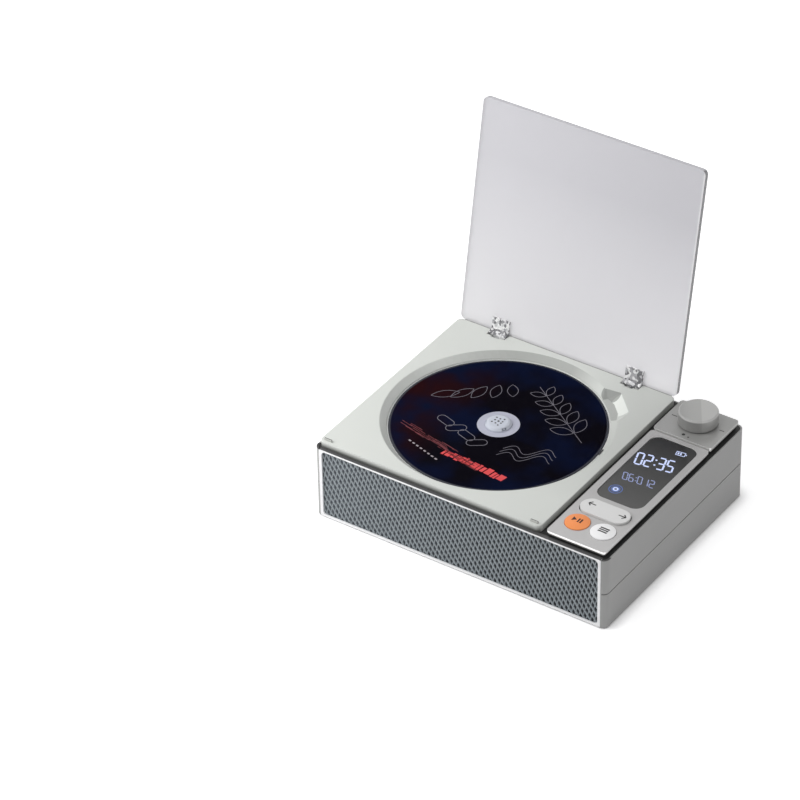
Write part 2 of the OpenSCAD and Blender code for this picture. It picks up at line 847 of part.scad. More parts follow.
module track_rocker() {
    web_t = 3;
    color("#d9d9d7")
    translate([plate_cx, rocker_y, 0])
        difference() {
            union() {
                slab(rocker_l, rocker_w, rocker_w / 2 - eps, front_under + 0.2, key_top);
                slab(web_t + 2, rocker_w - 2, 0.5, rocker_axis_z - pin_r - 1, front_under + 0.3);
                for (x = [-1, 1])
                    translate([x * rocker_stem_x, 0, 0])
                        rod(stem_r, switch_z - stem_dip + 0.2, front_under + 0.3);
            }
            translate([0, 0, rocker_axis_z])
                rotate([90, 0, 0])
                    cylinder(r = pin_r + run_fit, h = rocker_w + 2, center = true, $fn = plain);
        }
}

module rocker_pin() {
    color("#b9bbbe")
    translate([plate_cx, rocker_y, rocker_axis_z])
        rotate([90, 0, 0])
            cylinder(r = pin_r - 0.02, h = rocker_w + 4.4, center = true, $fn = plain);
}

module volume_control() {
    color("#3b3d40")
    translate([plate_cx, knob_y, 0])
        difference() {
            union() {
                slab(12, 12, 0.8, control_z, control_z + 5.6);
                rod(3.4, control_z + 5.5, rear_under + 1);
            }
            rod(2.4 + run_fit, control_z + 1.2, rear_z);
        }
}

module knob_shaft() {
    color("#b9bbbe")
    translate([plate_cx, knob_y, 0])
        rod(2.4, control_z + 1.4, rear_z + knob_h - 2.4);
}

module volume_knob() {
    color("#a5a5a2")
    translate([plate_cx, knob_y, rear_z + knob_gap])
        difference() {
            rotate_extrude($fn = fine)
                polygon([[0, 0], [knob_r - 0.6, 0], [knob_r, 0.6], [knob_r, knob_h - 1.1],
                    [knob_r - 0.8, knob_h - knob_gap], [0, knob_h - knob_gap]]);
            rod(2.4 + run_fit, -1, knob_h - 2.2);
        }
}

module disc_sensor() {
    color("#2a2c2e")
    translate([deck_cx, 0, 0])
        rotate([0, 0, sensor_turn])
            translate([well_r + 0.2, -2.5, disc_top_z - 1.1])
                cube([2.8, 5, 2.4]);
}

module lid_bumpers() {
    color("#3a3b3c")
    for (x = [-1, 1])
        translate([deck_cx + x * (deck_w / 2 - 2.4 - bumper_l / 2) - bumper_l / 2,
                1.6 - deck_back, deck_z])
            cube([bumper_l, bumper_w, bumper_h]);
}

hinge_y = deck_back - hinge_inset;
hinge_z = deck_z - hinge_drop;
lid_l = hinge_y + deck_back - lid_foot - lid_short;
pocket_z = hinge_z - knuckle_r - 0.4;

module at_hinges() {
    for (x = [-1, 1])
        translate([deck_cx + x * hinge_x, hinge_y, hinge_z])
            children();
}

module hinge_pads() {
    color("#1d1e1f")
    at_hinges()
        translate([-knuckle_w / 2, -knuckle_r - 0.4, pocket_z - hinge_z])
            cube([knuckle_w, knuckle_r + 2, pad_t]);
}

module lay_along_x(r, l) {
    rotate([0, 90, 0])
        cylinder(r = r, h = l, center = true, $fn = plain);
}

module hinge_bases() {
    play = 0.3;
    color("#dfe3e6", 0.6)
    at_hinges()
        difference() {
            union() {
                lay_along_x(knuckle_r, knuckle_w - play);
                translate([-knuckle_w / 2 + play / 2, -knuckle_r, pocket_z + pad_t - hinge_z])
                    cube([knuckle_w - play, 2 * knuckle_r - 0.4, hinge_z - pocket_z - pad_t]);
            }
            lay_along_x(pin_r + run_fit, hinge_w);
        }
}

// Carries its children into the lid's own frame: +Y along the lid, +Z out of its inner face
module in_lid_frame() {
    translate([deck_cx, hinge_y, hinge_z])
        rotate([90 - lid_tilt, 0, 0])
            translate([0, 0, -hinge_offset])
                children();
}

module lid_panel() {
    lid_w = deck_w - 2 * lid_side_gap;
    color("#e4e4ea", 0.6)
    in_lid_frame()
        translate([0, lid_foot + lid_l / 2, -lid_t])
            linear_extrude(lid_t)
                round_rect(lid_w, lid_l, lid_corner);
}

module hinge_leaves() {
    ear = (hinge_w - knuckle_w) / 2;
    color("#dfe3e6", 0.6)
    in_lid_frame()
        for (x = [-1, 1])
            translate([x * hinge_x, 0, 0])
                difference() {
                    union() {
                        translate([-hinge_w / 2, knuckle_r + 0.6, 0])
                            cube([hinge_w, leaf_h - knuckle_r - 0.6, leaf_t]);
                        for (side = [-1, 1])
                            translate([side * (knuckle_w + ear) / 2, 0, 0]) {
                                translate([0, 0, hinge_offset]) lay_along_x(knuckle_r, ear);
                                translate([-ear / 2, 0.2, 0])
                                    cube([ear, knuckle_r + 0.6, hinge_offset]);
                            }
                    }
                    translate([0, 0, hinge_offset]) lay_along_x(pin_r + 0.02, hinge_w + 1);
                }
}

module hinge_pins() {
    color("#c9cacc")
    at_hinges() lay_along_x(pin_r, hinge_w);
}

module compact_disc() {
    color("#14161f")
    translate([deck_cx, 0, disc_z])
        difference() {
            cylinder(r = disc_r, h = disc_t, $fn = fine);
            translate([0, 0, -1]) cylinder(r = disc_hole_r, h = disc_t + 2, $fn = fine);
        }
}

hub_r = disc_hole_r - seat_gap;
ball_r = 1.1;
module turntable() {
    color("#d4d6d9")
    translate([deck_cx, 0, 0])
        difference() {
            rotate_extrude($fn = fine)
                polygon([[0, chassis_z1 + 0.8], [5, chassis_z1 + 0.8], [5, well_floor],
                    [table_r, well_floor], [table_r, disc_z], [hub_r, disc_z],
                    [hub_r, disc_top_z + 0.6], [hub_r - 1, disc_top_z + hub_rise - 0.4],
                    [hub_r - 2, disc_top_z + hub_rise], [0, disc_top_z + hub_rise]]);
            rod(shaft_r + 0.02, chassis_z1, disc_top_z + hub_rise - 1);
            for (a = [90, 210, 330])
                rotate([0, 0, a])
                    translate([hub_r - 1.6, -ball_r - 0.1, disc_top_z + 0.3])
                        cube([2, 2 * ball_r + 0.2, 2 * ball_r - 0.9]);
        }
}

// Three sprung balls in the hub hold the disc down
module hub_balls() {
    color("#c9cacc")
    for (a = [90, 210, 330])
        translate([deck_cx, 0, 0])
            rotate([0, 0, a])
                translate([hub_r - 0.95, 0, disc_top_z + 0.95])
                    sphere(0.6, $fn = plain);
}

module spindle_shaft() {
    color("#b9bbbe")
    translate([deck_cx, 0, 0])
        rod(shaft_r, chassis_z0 - motor_h + 2, disc_top_z + hub_rise - 1.2);
}

module spindle_motor() {
    color("#9fa2a6")
    translate([deck_cx, 0, 0])
        difference() {
            union() {
                rod(motor_r, chassis_z0 - motor_h, chassis_z0);
                rod(3, chassis_z0 - eps, chassis_z1 + 0.4);
            }
            rod(shaft_r + run_fit, chassis_z0 - motor_h + 1.8, chassis_z1 + 1);
        }
}

module mechanism_chassis() {
    left = deck_cx - damper_x - 5;
    right = pinion_x + drive_motor_r + 1;
    color("#b4b7ba")
    difference() {
        union() {
            translate([left, damper_front - 6, chassis_z0])
                cube([right - left, rod_y1 - damper_front + 6, chassis_t]);
            for (x = [-1, 1])
                for (y = [rod_y0, rod_y1 - lug_t])
                    translate([deck_cx + x * rod_x - 2.6, y, rod_z - 2.6])
                        cube([5.2, lug_t, chassis_z0 - rod_z + 2.6 + eps]);
            translate([gear_x, gear_y, 0]) rod(1, wheel_z0 - 1, chassis_z0 + eps);
            translate([gear_x, gear_y, 0]) rod(2, small_z0 + 4, chassis_z0 + eps);
        }
        for (x = [-1, 1])
            translate([deck_cx + x * rod_x, (rod_y0 + rod_y1) / 2, rod_z])
                rotate([90, 0, 0])
                    cylinder(r = rod_r + 0.02, h = rod_y1 - rod_y0 - 1, center = true, $fn = plain);
        translate([deck_cx, 0, 0]) rod(3 + run_fit, chassis_z0 - 1, chassis_z1 + 1);
        translate([deck_cx - 11, motor_r + 1, chassis_z0 - 1])
            cube([22, sled_y1 + sled_travel - motor_r, chassis_t + 2]);
        for (p = damper_places())
            translate(p) rod(damper_r - 1 + seat_gap, chassis_z0 - 1, chassis_z1 + 1);
        translate([pinion_x, pinion_y, 0]) rod(1.6, chassis_z0 - 1, chassis_z1 + 1);
    }
}

module dampers() {
    color("#222325")
    for (p = damper_places())
        translate(p)
            difference() {
                union() {
                    rod(damper_r, chassis_z0 - 1.6, chassis_z0 - seat_gap / 2);
                    rod(damper_r - 1, chassis_z0 - 1, chassis_z1 + 1);
                    rod(damper_r, chassis_z1 + seat_gap / 2, bowl_z - seat_gap);
                }
                rod(boss_r + seat_gap, chassis_z0 - 2, bowl_z + 1);
            }
}

module damper_screws() {
    color("#c9cacc")
    for (p = damper_places())
        translate(p) {
            rod(damper_r - 0.6, chassis_z0 - 4, chassis_z0 - 3);
            rod(screw_r - 0.4, chassis_z0 - 3 - eps, bowl_z - 1.4);
        }
}

module guide_rods() {
    color("#cfd1d4")
    for (x = [-1, 1])
        translate([deck_cx + x * rod_x, (rod_y0 + rod_y1) / 2, rod_z])
            rotate([90, 0, 0])
                cylinder(r = rod_r, h = rod_y1 - rod_y0 - 1.2, center = true, $fn = plain);
}

rack_pitch = PI * rack_module;
rack_slack = 0.06;
pressure = 20;
// The rack's teeth point to +X; its pitch line touches the small gear's pitch circle
module rack() {
    reach = 0.85 * rack_module;
    foot = 1.2 * rack_module;
    half = rack_pitch / 4 - rack_slack / 2;
    count = ceil((sled_travel + 3) / rack_pitch);
    slope = tan(pressure);
    translate([gear_x - rack_r - mesh_gap, gear_y, small_z0])
        linear_extrude(4)
            for (k = [-count : 1])
                translate([0, k * rack_pitch])
                    polygon([[-foot, -half - foot * slope], [reach, -half + reach * slope],
                        [reach, half - reach * slope], [-foot, half + foot * slope]]);
    translate([gear_x - rack_r - mesh_gap - foot - 1.4, gear_y - (count + 0.5) * rack_pitch, small_z0])
        cube([1.4 + eps, (count + 2) * rack_pitch, 4]);
}

module pickup_sled() {
    turret = 4;
    color("#2c2e33")
    difference() {
        union() {
            translate([deck_cx - sled_half, sled_y0, sled_z0])
                cube([2 * sled_half, sled_y1 - sled_y0, sled_z1 - sled_z0]);
            translate([deck_cx - 7, lens_home - turret, sled_z1 - eps])
                cube([14, 2 * turret, well_floor - 0.6 - sled_z1]);
            rack_arm();
            rack();
        }
        for (x = [-1, 1])
            translate([deck_cx + x * rod_x, (sled_y0 + sled_y1) / 2, rod_z])
                rotate([90, 0, 0])
                    cylinder(r = rod_r + run_fit, h = 80, center = true, $fn = plain);
        translate([deck_cx, lens_home, 0]) rod(3.4, well_floor - 2.2, well_floor + 1);
    }
}

// Joins the rack to the sled's side
module rack_arm() {
    back = gear_x - rack_r - mesh_gap - 1.2 * rack_module;
    translate([deck_cx + sled_half - eps, sled_y0, small_z0])
        cube([back - deck_cx - sled_half, 12, 4]);
}

module pickup_lens() {
    color("#8fb7d9", 0.7)
    translate([deck_cx, lens_home, 0]) {
        rod(3.3, well_floor - 2.2, well_floor - 1);
        translate([0, 0, well_floor - 1.01])
            cylinder(r1 = 2.4, r2 = 1.6, h = 0.8, $fn = plain);
    }
}

function involute(base, turn) = [base * (cos(turn) + turn * PI / 180 * sin(turn)),
    base * (sin(turn) - turn * PI / 180 * cos(turn))];
function turned(p, a) = [p[0] * cos(a) - p[1] * sin(a), p[0] * sin(a) + p[1] * cos(a)];

// An involute gear outline with a tooth centred on +X
module gear_outline(teeth, module_size, slack) {
    pitch = teeth * module_size / 2;
    base = pitch * cos(pressure);
    tip = pitch + 0.85 * module_size;
    root = pitch - 1.15 * module_size;
    at_pitch = sqrt(pow(pitch / base, 2) - 1) * 180 / PI;
    at_tip = sqrt(pow(tip / base, 2) - 1) * 180 / PI;
    half_tooth = 90 / teeth - slack / pitch * 90 / PI;
    lean = half_tooth + at_pitch - atan(at_pitch * PI / 180);
    steps = 3;
    flank = [for (i = [0 : steps]) turned(involute(base, at_tip * i / steps), -lean)];
    other = [for (i = [steps : -1 : 0]) [flank[i][0], -flank[i][1]]];
    foot = [root * cos(lean), root * sin(lean)];
    tooth = concat([[foot[0], -foot[1]]], flank, other, [foot]);
    polygon([for (k = [0 : teeth - 1]) for (p = tooth) turned(p, k * 360 / teeth)]);
}

module transfer_gear() {
    color("#eceae2")
    translate([gear_x, gear_y, 0])
        difference() {
            union() {
                translate([0, 0, wheel_z1 - eps])
                    linear_extrude(small_z0 + 3.8 - wheel_z1)
                        rotate([0, 0, 180 + 180 / small_teeth])
                            gear_outline(small_teeth, rack_module, rack_slack);
                translate([0, 0, wheel_z0])
                    linear_extrude(wheel_h)
                        rotate([0, 0, mesh_angle])
                            gear_outline(wheel_teeth, wheel_module, rack_slack);
            }
            rod(1 + run_fit, wheel_z0 - 1, small_z0 + 5);
        }
}

module gear_clip() {
    color("#c9cacc")
    translate([gear_x, gear_y, 0])
        difference() {
            rod(2.4, wheel_z0 - 0.7, wheel_z0 - 0.2);
            rod(1.01, wheel_z0 - 2, wheel_z0 + 1);
        }
}

module motor_pinion() {
    color("#eceae2")
    translate([pinion_x, pinion_y, 0]) {
        translate([0, 0, wheel_z0])
            linear_extrude(wheel_h)
                rotate([0, 0, mesh_angle + 180 + 180 / pinion_teeth])
                    gear_outline(pinion_teeth, wheel_module, rack_slack);
        rod(0.75, wheel_z0, chassis_z0 - 1);
    }
}

module sled_motor() {
    color("#a9abae")
    translate([pinion_x, pinion_y, 0])
        difference() {
            union() {
                rod(drive_motor_r, wheel_z1 + 1, chassis_z0);
                rod(1.5, chassis_z0 - eps, chassis_z1);
            }
            rod(0.75 + run_fit, wheel_z1, chassis_z0 - 0.8);
        }
}

module main_board() {
    color("#1f5a3a")
    difference() {
        translate([board_x0, board_y0, board_z])
            cube([board_x1 - board_x0, board_y1 - board_y0, board_t]);
        for (p = board_places())
            translate(p) rod(screw_r + 0.3, board_z - 1, board_z + board_t + 1);
    }
}

module main_board_screws() {
    color("#c9cacc")
    for (p = board_places())
        translate(p) {
            rod(2 * screw_r, board_z + board_t, board_z + board_t + 1.5);
            rod(screw_r, floor_t + 0.6, board_z + board_t + eps);
        }
}

// A pressed metal shield over the amplifier and the decoder chip
module heat_shield() {
    color("#b4b7ba")
    translate([board_x0 + 36, -2, board_z + board_t])
        difference() {
            cube([34, 26, 5]);
            translate([0.6, 0.6, -1]) cube([32.8, 24.8, 5.4]);
            for (x = [0 : 4])
                translate([5 + 6 * x, 13, 3]) cylinder(r = 1.5, h = 4, $fn = plain);
        }
}

battery_x = -half_w + wall_t + 3;
battery_y = -34;
module battery_pack() {
    color("#3c63a8")
    translate([battery_x, battery_y + cell_r, floor_t + cell_r])
        rotate([0, 90, 0])
            linear_extrude(battery_l) {
                for (k = [0, 1])
                    translate([0, k * 2 * cell_r]) circle(cell_r, $fn = fine);
                translate([-cell_r, 0]) square([2 * cell_r, 2 * cell_r]);
            }
}

module battery_ribs() {
    rib = 1.6;
    for (y = [-rib - 0.3, 4 * cell_r + 0.3])
        for (x = [8, battery_l - 12])
            translate([battery_x + x, battery_y + y, floor_t - eps])
                cube([6, rib, 9]);
    for (x = [-rib - 0.3, battery_l + 0.3])
        translate([battery_x + x, battery_y + cell_r, floor_t - eps])
            cube([rib, 2 * cell_r, 8]);
}

module battery_strap() {
    strap_w = 10;
    band = 0.8;
    color("#1d1e1f")
    translate([battery_x + battery_l / 2 - strap_w / 2, battery_y, floor_t])
        difference() {
            translate([-eps, -band - 0.2, 0])
                cube([strap_w, 4 * cell_r + 2 * band + 0.4, 2 * cell_r + band + 0.1]);
            translate([-1, -0.2, -1])
                cube([strap_w + 2, 4 * cell_r + 0.4, 2 * cell_r + 1.1]);
        }
}

module power_socket() {
    color("#c3c5c8")
    translate([usb_x, half_d - 0.6, board_z + board_t + 1.75])
        rotate([90, 0, 0])
            difference() {
                linear_extrude(8) round_rect(9, 3.3, 1.5);
                translate([0, 0, -1])
                    linear_extrude(7.5) round_rect(8.4, 2.7, 1.2);
            }
}

module headphone_socket() {
    centre_z = board_z + board_t + 3.2;
    color("#1d1e1f")
    difference() {
        union() {
            translate([jack_x - 3.6, half_d - wall_t - 13, board_z + board_t])
                cube([7.2, 12.8, 6.2]);
            translate([jack_x, half_d - 0.4, centre_z])
                rotate([90, 0, 0])
                    cylinder(r = 3, h = wall_t + 1, $fn = plain);
        }
        translate([jack_x, half_d + 1, centre_z])
            rotate([90, 0, 0])
                cylinder(r = jack_r, h = 14, $fn = plain);
    }
}

lower_shell();
upper_shell();
top_tray();
rubber_feet();
case_screws();
grille_frame();
grille_mesh();
speaker_baffle();
speaker_baskets();
speaker_cones();
speaker_magnets();
deck_plate();
front_plate();
rear_plate();
display_lens();
display_module();
control_board();
key_switches();
board_screws();
power_button();
mode_button();
track_rocker();
rocker_pin();
volume_control();
knob_shaft();
volume_knob();
disc_sensor();
lid_bumpers();
hinge_pads();
hinge_bases();
lid_panel();
hinge_leaves();
hinge_pins();
compact_disc();
turntable();
hub_balls();
spindle_shaft();
spindle_motor();
mechanism_chassis();
dampers();
damper_screws();
guide_rods();
pickup_sled();
pickup_lens();
transfer_gear();
gear_clip();
motor_pinion();
sled_motor();
main_board();
main_board_screws();
heat_shield();
battery_pack();
battery_strap();
power_socket();
headphone_socket();
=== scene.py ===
import json
import math
import random
import bmesh
import bpy
from mathutils import Matrix, Vector

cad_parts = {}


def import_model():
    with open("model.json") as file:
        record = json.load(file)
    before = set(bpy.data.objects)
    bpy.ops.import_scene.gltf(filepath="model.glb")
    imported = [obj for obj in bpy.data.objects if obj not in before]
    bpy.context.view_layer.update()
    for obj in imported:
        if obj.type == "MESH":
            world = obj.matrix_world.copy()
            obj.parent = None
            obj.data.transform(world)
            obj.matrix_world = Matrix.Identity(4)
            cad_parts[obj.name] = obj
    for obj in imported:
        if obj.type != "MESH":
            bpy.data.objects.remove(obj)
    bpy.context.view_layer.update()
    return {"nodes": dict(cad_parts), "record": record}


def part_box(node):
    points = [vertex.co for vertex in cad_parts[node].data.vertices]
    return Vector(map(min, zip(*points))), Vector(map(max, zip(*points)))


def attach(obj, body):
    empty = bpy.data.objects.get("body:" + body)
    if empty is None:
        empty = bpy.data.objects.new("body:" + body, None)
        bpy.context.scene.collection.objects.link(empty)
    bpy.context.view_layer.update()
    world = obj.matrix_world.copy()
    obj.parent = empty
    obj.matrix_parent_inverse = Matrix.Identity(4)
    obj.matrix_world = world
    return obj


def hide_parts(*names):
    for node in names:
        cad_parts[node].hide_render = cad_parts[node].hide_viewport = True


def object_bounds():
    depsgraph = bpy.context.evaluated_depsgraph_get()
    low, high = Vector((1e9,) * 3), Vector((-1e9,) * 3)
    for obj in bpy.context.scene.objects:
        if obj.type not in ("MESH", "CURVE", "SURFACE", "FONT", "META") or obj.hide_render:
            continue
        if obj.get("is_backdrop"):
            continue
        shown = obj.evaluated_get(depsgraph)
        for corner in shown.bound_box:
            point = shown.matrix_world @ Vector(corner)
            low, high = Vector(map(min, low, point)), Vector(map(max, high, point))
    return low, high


MM = 0.001
DISC_CLEARANCE = 0.002
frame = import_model()
nodes = frame["nodes"]


# Materials

def new_material(name):
    """An empty material, with its node tree and its output node."""
    material = bpy.data.materials.new(name)
    material.use_nodes = True
    tree = material.node_tree
    tree.nodes.clear()
    output = tree.nodes.new("ShaderNodeOutputMaterial")
    return material, tree, output


def add_node(tree, kind, **values):
    """A node with some of its settings given by name."""
    node = tree.nodes.new(kind)
    for key, value in values.items():
        if key in node.inputs:
            node.inputs[key].default_value = value
        else:
            setattr(node, key, value)
    return node


def seen_rays(tree):
    """1 for the rays that show the background: camera, glossy and transmission rays."""
    path = add_node(tree, "ShaderNodeLightPath")
    first = add_node(tree, "ShaderNodeMath", operation="MAXIMUM")
    tree.links.new(path.outputs["Is Camera Ray"], first.inputs[0])
    tree.links.new(path.outputs["Is Glossy Ray"], first.inputs[1])
    both = add_node(tree, "ShaderNodeMath", operation="MAXIMUM")
    tree.links.new(first.outputs[0], both.inputs[0])
    tree.links.new(path.outputs["Is Transmission Ray"], both.inputs[1])
    return both.outputs[0]


def place(tree, axis):
    """An object coordinate of the shaded point, in metres."""
    coords = add_node(tree, "ShaderNodeTexCoord")
    split = add_node(tree, "ShaderNodeSeparateXYZ")
    tree.links.new(coords.outputs["Object"], split.inputs[0])
    return split.outputs[axis]


def facing(tree, axis):
    """A coordinate of the direction in which the shaded face points."""
    geometry = add_node(tree, "ShaderNodeNewGeometry")
    split = add_node(tree, "ShaderNodeSeparateXYZ")
    tree.links.new(geometry.outputs["True Normal"], split.inputs[0])
    return split.outputs[axis]


def ramp(tree, socket, start, end, low=0.0, high=1.0):
    """Runs from low to high while the socket goes from start to end."""
    span = add_node(tree, "ShaderNodeMapRange")
    span.inputs["From Min"].default_value = start
    span.inputs["From Max"].default_value = end
    span.inputs["To Min"].default_value = low
    span.inputs["To Max"].default_value = high
    tree.links.new(socket, span.inputs["Value"])
    return span.outputs[0]


def combine(tree, operation, first, second):
    """One sum, product or power of two sockets or numbers."""
    node = add_node(tree, "ShaderNodeMath", operation=operation)
    for index, value in enumerate((first, second)):
        if isinstance(value, float):
            node.inputs[index].default_value = value
        else:
            tree.links.new(value, node.inputs[index])
    return node.outputs[0]


def product(tree, first, *others):
    """Masks or factors multiplied together."""
    for other in others:
        first = combine(tree, "MULTIPLY", first, other)
    return first


def tone_where(tree, mask, factor):
    """1 where the mask is 0, and the factor where it is 1."""
    return ramp(tree, mask, 0.0, 1.0, 1.0, factor)


def blend_colours(tree, mask, first, second):
    """The first colour where the mask is 0 and the second where it is 1."""
    node = add_node(tree, "ShaderNodeMix", data_type="RGBA")
    tree.links.new(mask, node.inputs[0])
    for index, colour in ((6, first), (7, second)):
        if isinstance(colour, tuple):
            node.inputs[index].default_value = (*colour, 1)
        else:
            tree.links.new(colour, node.inputs[index])
    return node.outputs[2]


def near(tree, centre, radius):
    """1 inside a ball round a point given in mm."""
    coords = add_node(tree, "ShaderNodeTexCoord")
    away = add_node(tree, "ShaderNodeVectorMath", operation="DISTANCE")
    tree.links.new(coords.outputs["Object"], away.inputs[0])
    away.inputs[1].default_value = tuple(value * MM for value in centre)
    return ramp(tree, away.outputs["Value"], radius * 1.05 * MM, radius * MM)


def surface(name, colour, rough=0.5, metal=0.0, grain=0.0, grain_scale=2500.0, mottle=0.0,
            mottle_scale=40.0, specular=0.5, stretch=(1, 1, 1), edge=0.0, tone=None):
    """A finish with a fine grain and a slow change of tone, in object coordinates.

    An edge is a rounding in mm that only the shading shows, and tone is a function of the node
    tree that gives a factor for the colour.
    """
    grain_depth = 0.12 * MM
    material, tree, output = new_material(name)
    bsdf = add_node(tree, "ShaderNodeBsdfPrincipled")
    bsdf.inputs["Roughness"].default_value = rough
    bsdf.inputs["Metallic"].default_value = metal
    bsdf.inputs["Specular IOR Level"].default_value = specular
    tree.links.new(bsdf.outputs[0], output.inputs["Surface"])
    coords = add_node(tree, "ShaderNodeTexCoord")
    mapping = add_node(tree, "ShaderNodeMapping")
    mapping.inputs["Scale"].default_value = stretch
    tree.links.new(coords.outputs["Object"], mapping.inputs["Vector"])
    slow = add_node(tree, "ShaderNodeTexNoise")
    slow.inputs["Scale"].default_value = mottle_scale
    slow.inputs["Detail"].default_value = 3.0
    tree.links.new(mapping.outputs[0], slow.inputs["Vector"])
    level = ramp(tree, slow.outputs["Fac"], 0.3, 0.7, 1.0 - mottle, 1.0 + mottle)
    if tone:
        level = combine(tree, "MULTIPLY", level, tone(tree))
    tint = add_node(tree, "ShaderNodeVectorMath", operation="SCALE")
    tint.inputs[0].default_value = colour
    tree.links.new(level, tint.inputs["Scale"])
    tree.links.new(tint.outputs[0], bsdf.inputs["Base Color"])
    fine = add_node(tree, "ShaderNodeTexNoise")
    fine.inputs["Scale"].default_value = grain_scale
    fine.inputs["Detail"].default_value = 2.0
    tree.links.new(mapping.outputs[0], fine.inputs["Vector"])
    bump = add_node(tree, "ShaderNodeBump")
    bump.inputs["Strength"].default_value = grain
    bump.inputs["Distance"].default_value = grain_depth
    tree.links.new(fine.outputs["Fac"], bump.inputs["Height"])
    tree.links.new(bump.outputs[0], bsdf.inputs["Normal"])
    if edge:
        rounded = add_node(tree, "ShaderNodeBevel", samples=6)
        rounded.inputs["Radius"].default_value = edge * MM
        tree.links.new(rounded.outputs[0], bump.inputs["Normal"])
    return material


def clear_plastic(name, tint):
    """Clear tinted plastic with a slightly uneven polish, for the pickup's lens."""
    roughest, smoothest = 0.08, 0.02
    material, tree, output = new_material(name)
    glass = add_node(tree, "ShaderNodeBsdfPrincipled")
    glass.inputs["Base Color"].default_value = (*tint, 1)
    glass.inputs["Transmission Weight"].default_value = 1.0
    glass.inputs["IOR"].default_value = 1.46
    coords = add_node(tree, "ShaderNodeTexCoord")
    noise = add_node(tree, "ShaderNodeTexNoise")
    noise.inputs["Scale"].default_value = 300.0
    tree.links.new(coords.outputs["Object"], noise.inputs["Vector"])
    tree.links.new(ramp(tree, noise.outputs["Fac"], 0.0, 1.0, smoothest, roughest),
                   glass.inputs["Roughness"])
    tree.links.new(glass.outputs[0], output.inputs["Surface"])
    return material


def frosted(name, low, high, see_through):
    """The lid: a frosted sheet with painted light, whose tone runs across the panel and up it.

    The tone is painted light: it goes from the colour low near the foot, lighter towards the right,
    to the colour high in the upper part. A painted highlight strip runs up the right side, and the
    right edge is painted dark as shade. Heights are those of the open lid.
    """
    left, right = -90.0 * MM, 50.0 * MM
    foot, upper_part = 55.0 * MM, 150.0 * MM
    highlight_start, highlight_end = 49.3 * MM, 49.8 * MM
    right_light_gain = 1.16
    highlight_colour = (0.84, 0.84, 0.85)
    shaded_edge_colour = (0.085, 0.085, 0.09)
    grain_depth = 0.1 * MM
    scattered = 0.35
    material, tree, output = new_material(name)
    coords = add_node(tree, "ShaderNodeTexCoord")
    across = ramp(tree, place(tree, "X"), left, right)
    up = ramp(tree, place(tree, "Z"), foot, upper_part)
    # Painted light: lighter towards the right near the foot, and the colour high further up.
    base = blend_colours(tree, across, low, tuple(value * right_light_gain for value in low))
    mask = combine(tree, "MULTIPLY", up, ramp(tree, across, 0.0, 1.0, 0.85, 1.0))
    tone = blend_colours(tree, mask, base, high)
    # A painted highlight strip up the right side, and painted shade on the faces that point right.
    highlight_mask = ramp(tree, place(tree, "X"), highlight_start, highlight_end)
    strip = blend_colours(tree, highlight_mask, tone, highlight_colour)
    shaded_edged = blend_colours(tree, ramp(tree, facing(tree, "X"), 0.3, 0.6), strip, shaded_edge_colour)
    frost = add_node(tree, "ShaderNodeBsdfPrincipled")
    frost.inputs["Roughness"].default_value = 0.38
    tree.links.new(shaded_edged, frost.inputs["Base Color"])
    grain = add_node(tree, "ShaderNodeTexNoise")
    grain.inputs["Scale"].default_value = 1800.0
    tree.links.new(coords.outputs["Object"], grain.inputs["Vector"])
    bump = add_node(tree, "ShaderNodeBump")
    bump.inputs["Strength"].default_value = 0.12
    bump.inputs["Distance"].default_value = grain_depth
    tree.links.new(grain.outputs["Fac"], bump.inputs["Height"])
    tree.links.new(bump.outputs[0], frost.inputs["Normal"])
    through = add_node(tree, "ShaderNodeBsdfTranslucent")
    tree.links.new(shaded_edged, through.inputs["Color"])
    body = add_node(tree, "ShaderNodeMixShader")
    body.inputs[0].default_value = scattered
    tree.links.new(frost.outputs[0], body.inputs[1])
    tree.links.new(through.outputs[0], body.inputs[2])
    open_air = add_node(tree, "ShaderNodeBsdfTransparent")
    mix = add_node(tree, "ShaderNodeMixShader")
    mix.inputs[0].default_value = see_through
    tree.links.new(body.outputs[0], mix.inputs[1])
    tree.links.new(open_air.outputs[0], mix.inputs[2])
    tree.links.new(mix.outputs[0], output.inputs["Surface"])
    return material


def glow(name, colour, strength):
    """Lit digits and icons, a tenth stronger or weaker from spot to spot."""
    material, tree, output = new_material(name)
    coords = add_node(tree, "ShaderNodeTexCoord")
    noise = add_node(tree, "ShaderNodeTexNoise")
    noise.inputs["Scale"].default_value = 600.0
    tree.links.new(coords.outputs["Object"], noise.inputs["Vector"])
    emission = add_node(tree, "ShaderNodeEmission")
    emission.inputs["Color"].default_value = (*colour, 1)
    tree.links.new(ramp(tree, noise.outputs["Fac"], 0.0, 1.0, strength * 0.9, strength * 1.1),
                   emission.inputs["Strength"])
    tree.links.new(emission.outputs[0], output.inputs["Surface"])
    return material


def window_glass(name):
    """Smoked display glass with painted light: grey at the front and near black at the back."""
    front, back = -30.0 * MM, 36.0 * MM
    material, tree, output = new_material(name)
    # Painted light: lighter grey at the front, near black at the back.
    shade = add_node(tree, "ShaderNodeValToRGB")
    shade.color_ramp.elements[0].color = (0.115, 0.115, 0.112, 1)
    shade.color_ramp.elements[1].color = (0.012, 0.012, 0.013, 1)
    tree.links.new(ramp(tree, place(tree, "Y"), front, back), shade.inputs[0])
    bsdf = add_node(tree, "ShaderNodeBsdfPrincipled")
    bsdf.inputs["Roughness"].default_value = 0.12
    bsdf.inputs["Specular IOR Level"].default_value = 0.22
    tree.links.new(shade.outputs[0], bsdf.inputs["Base Color"])
    tree.links.new(bsdf.outputs[0], output.inputs["Surface"])
    return material


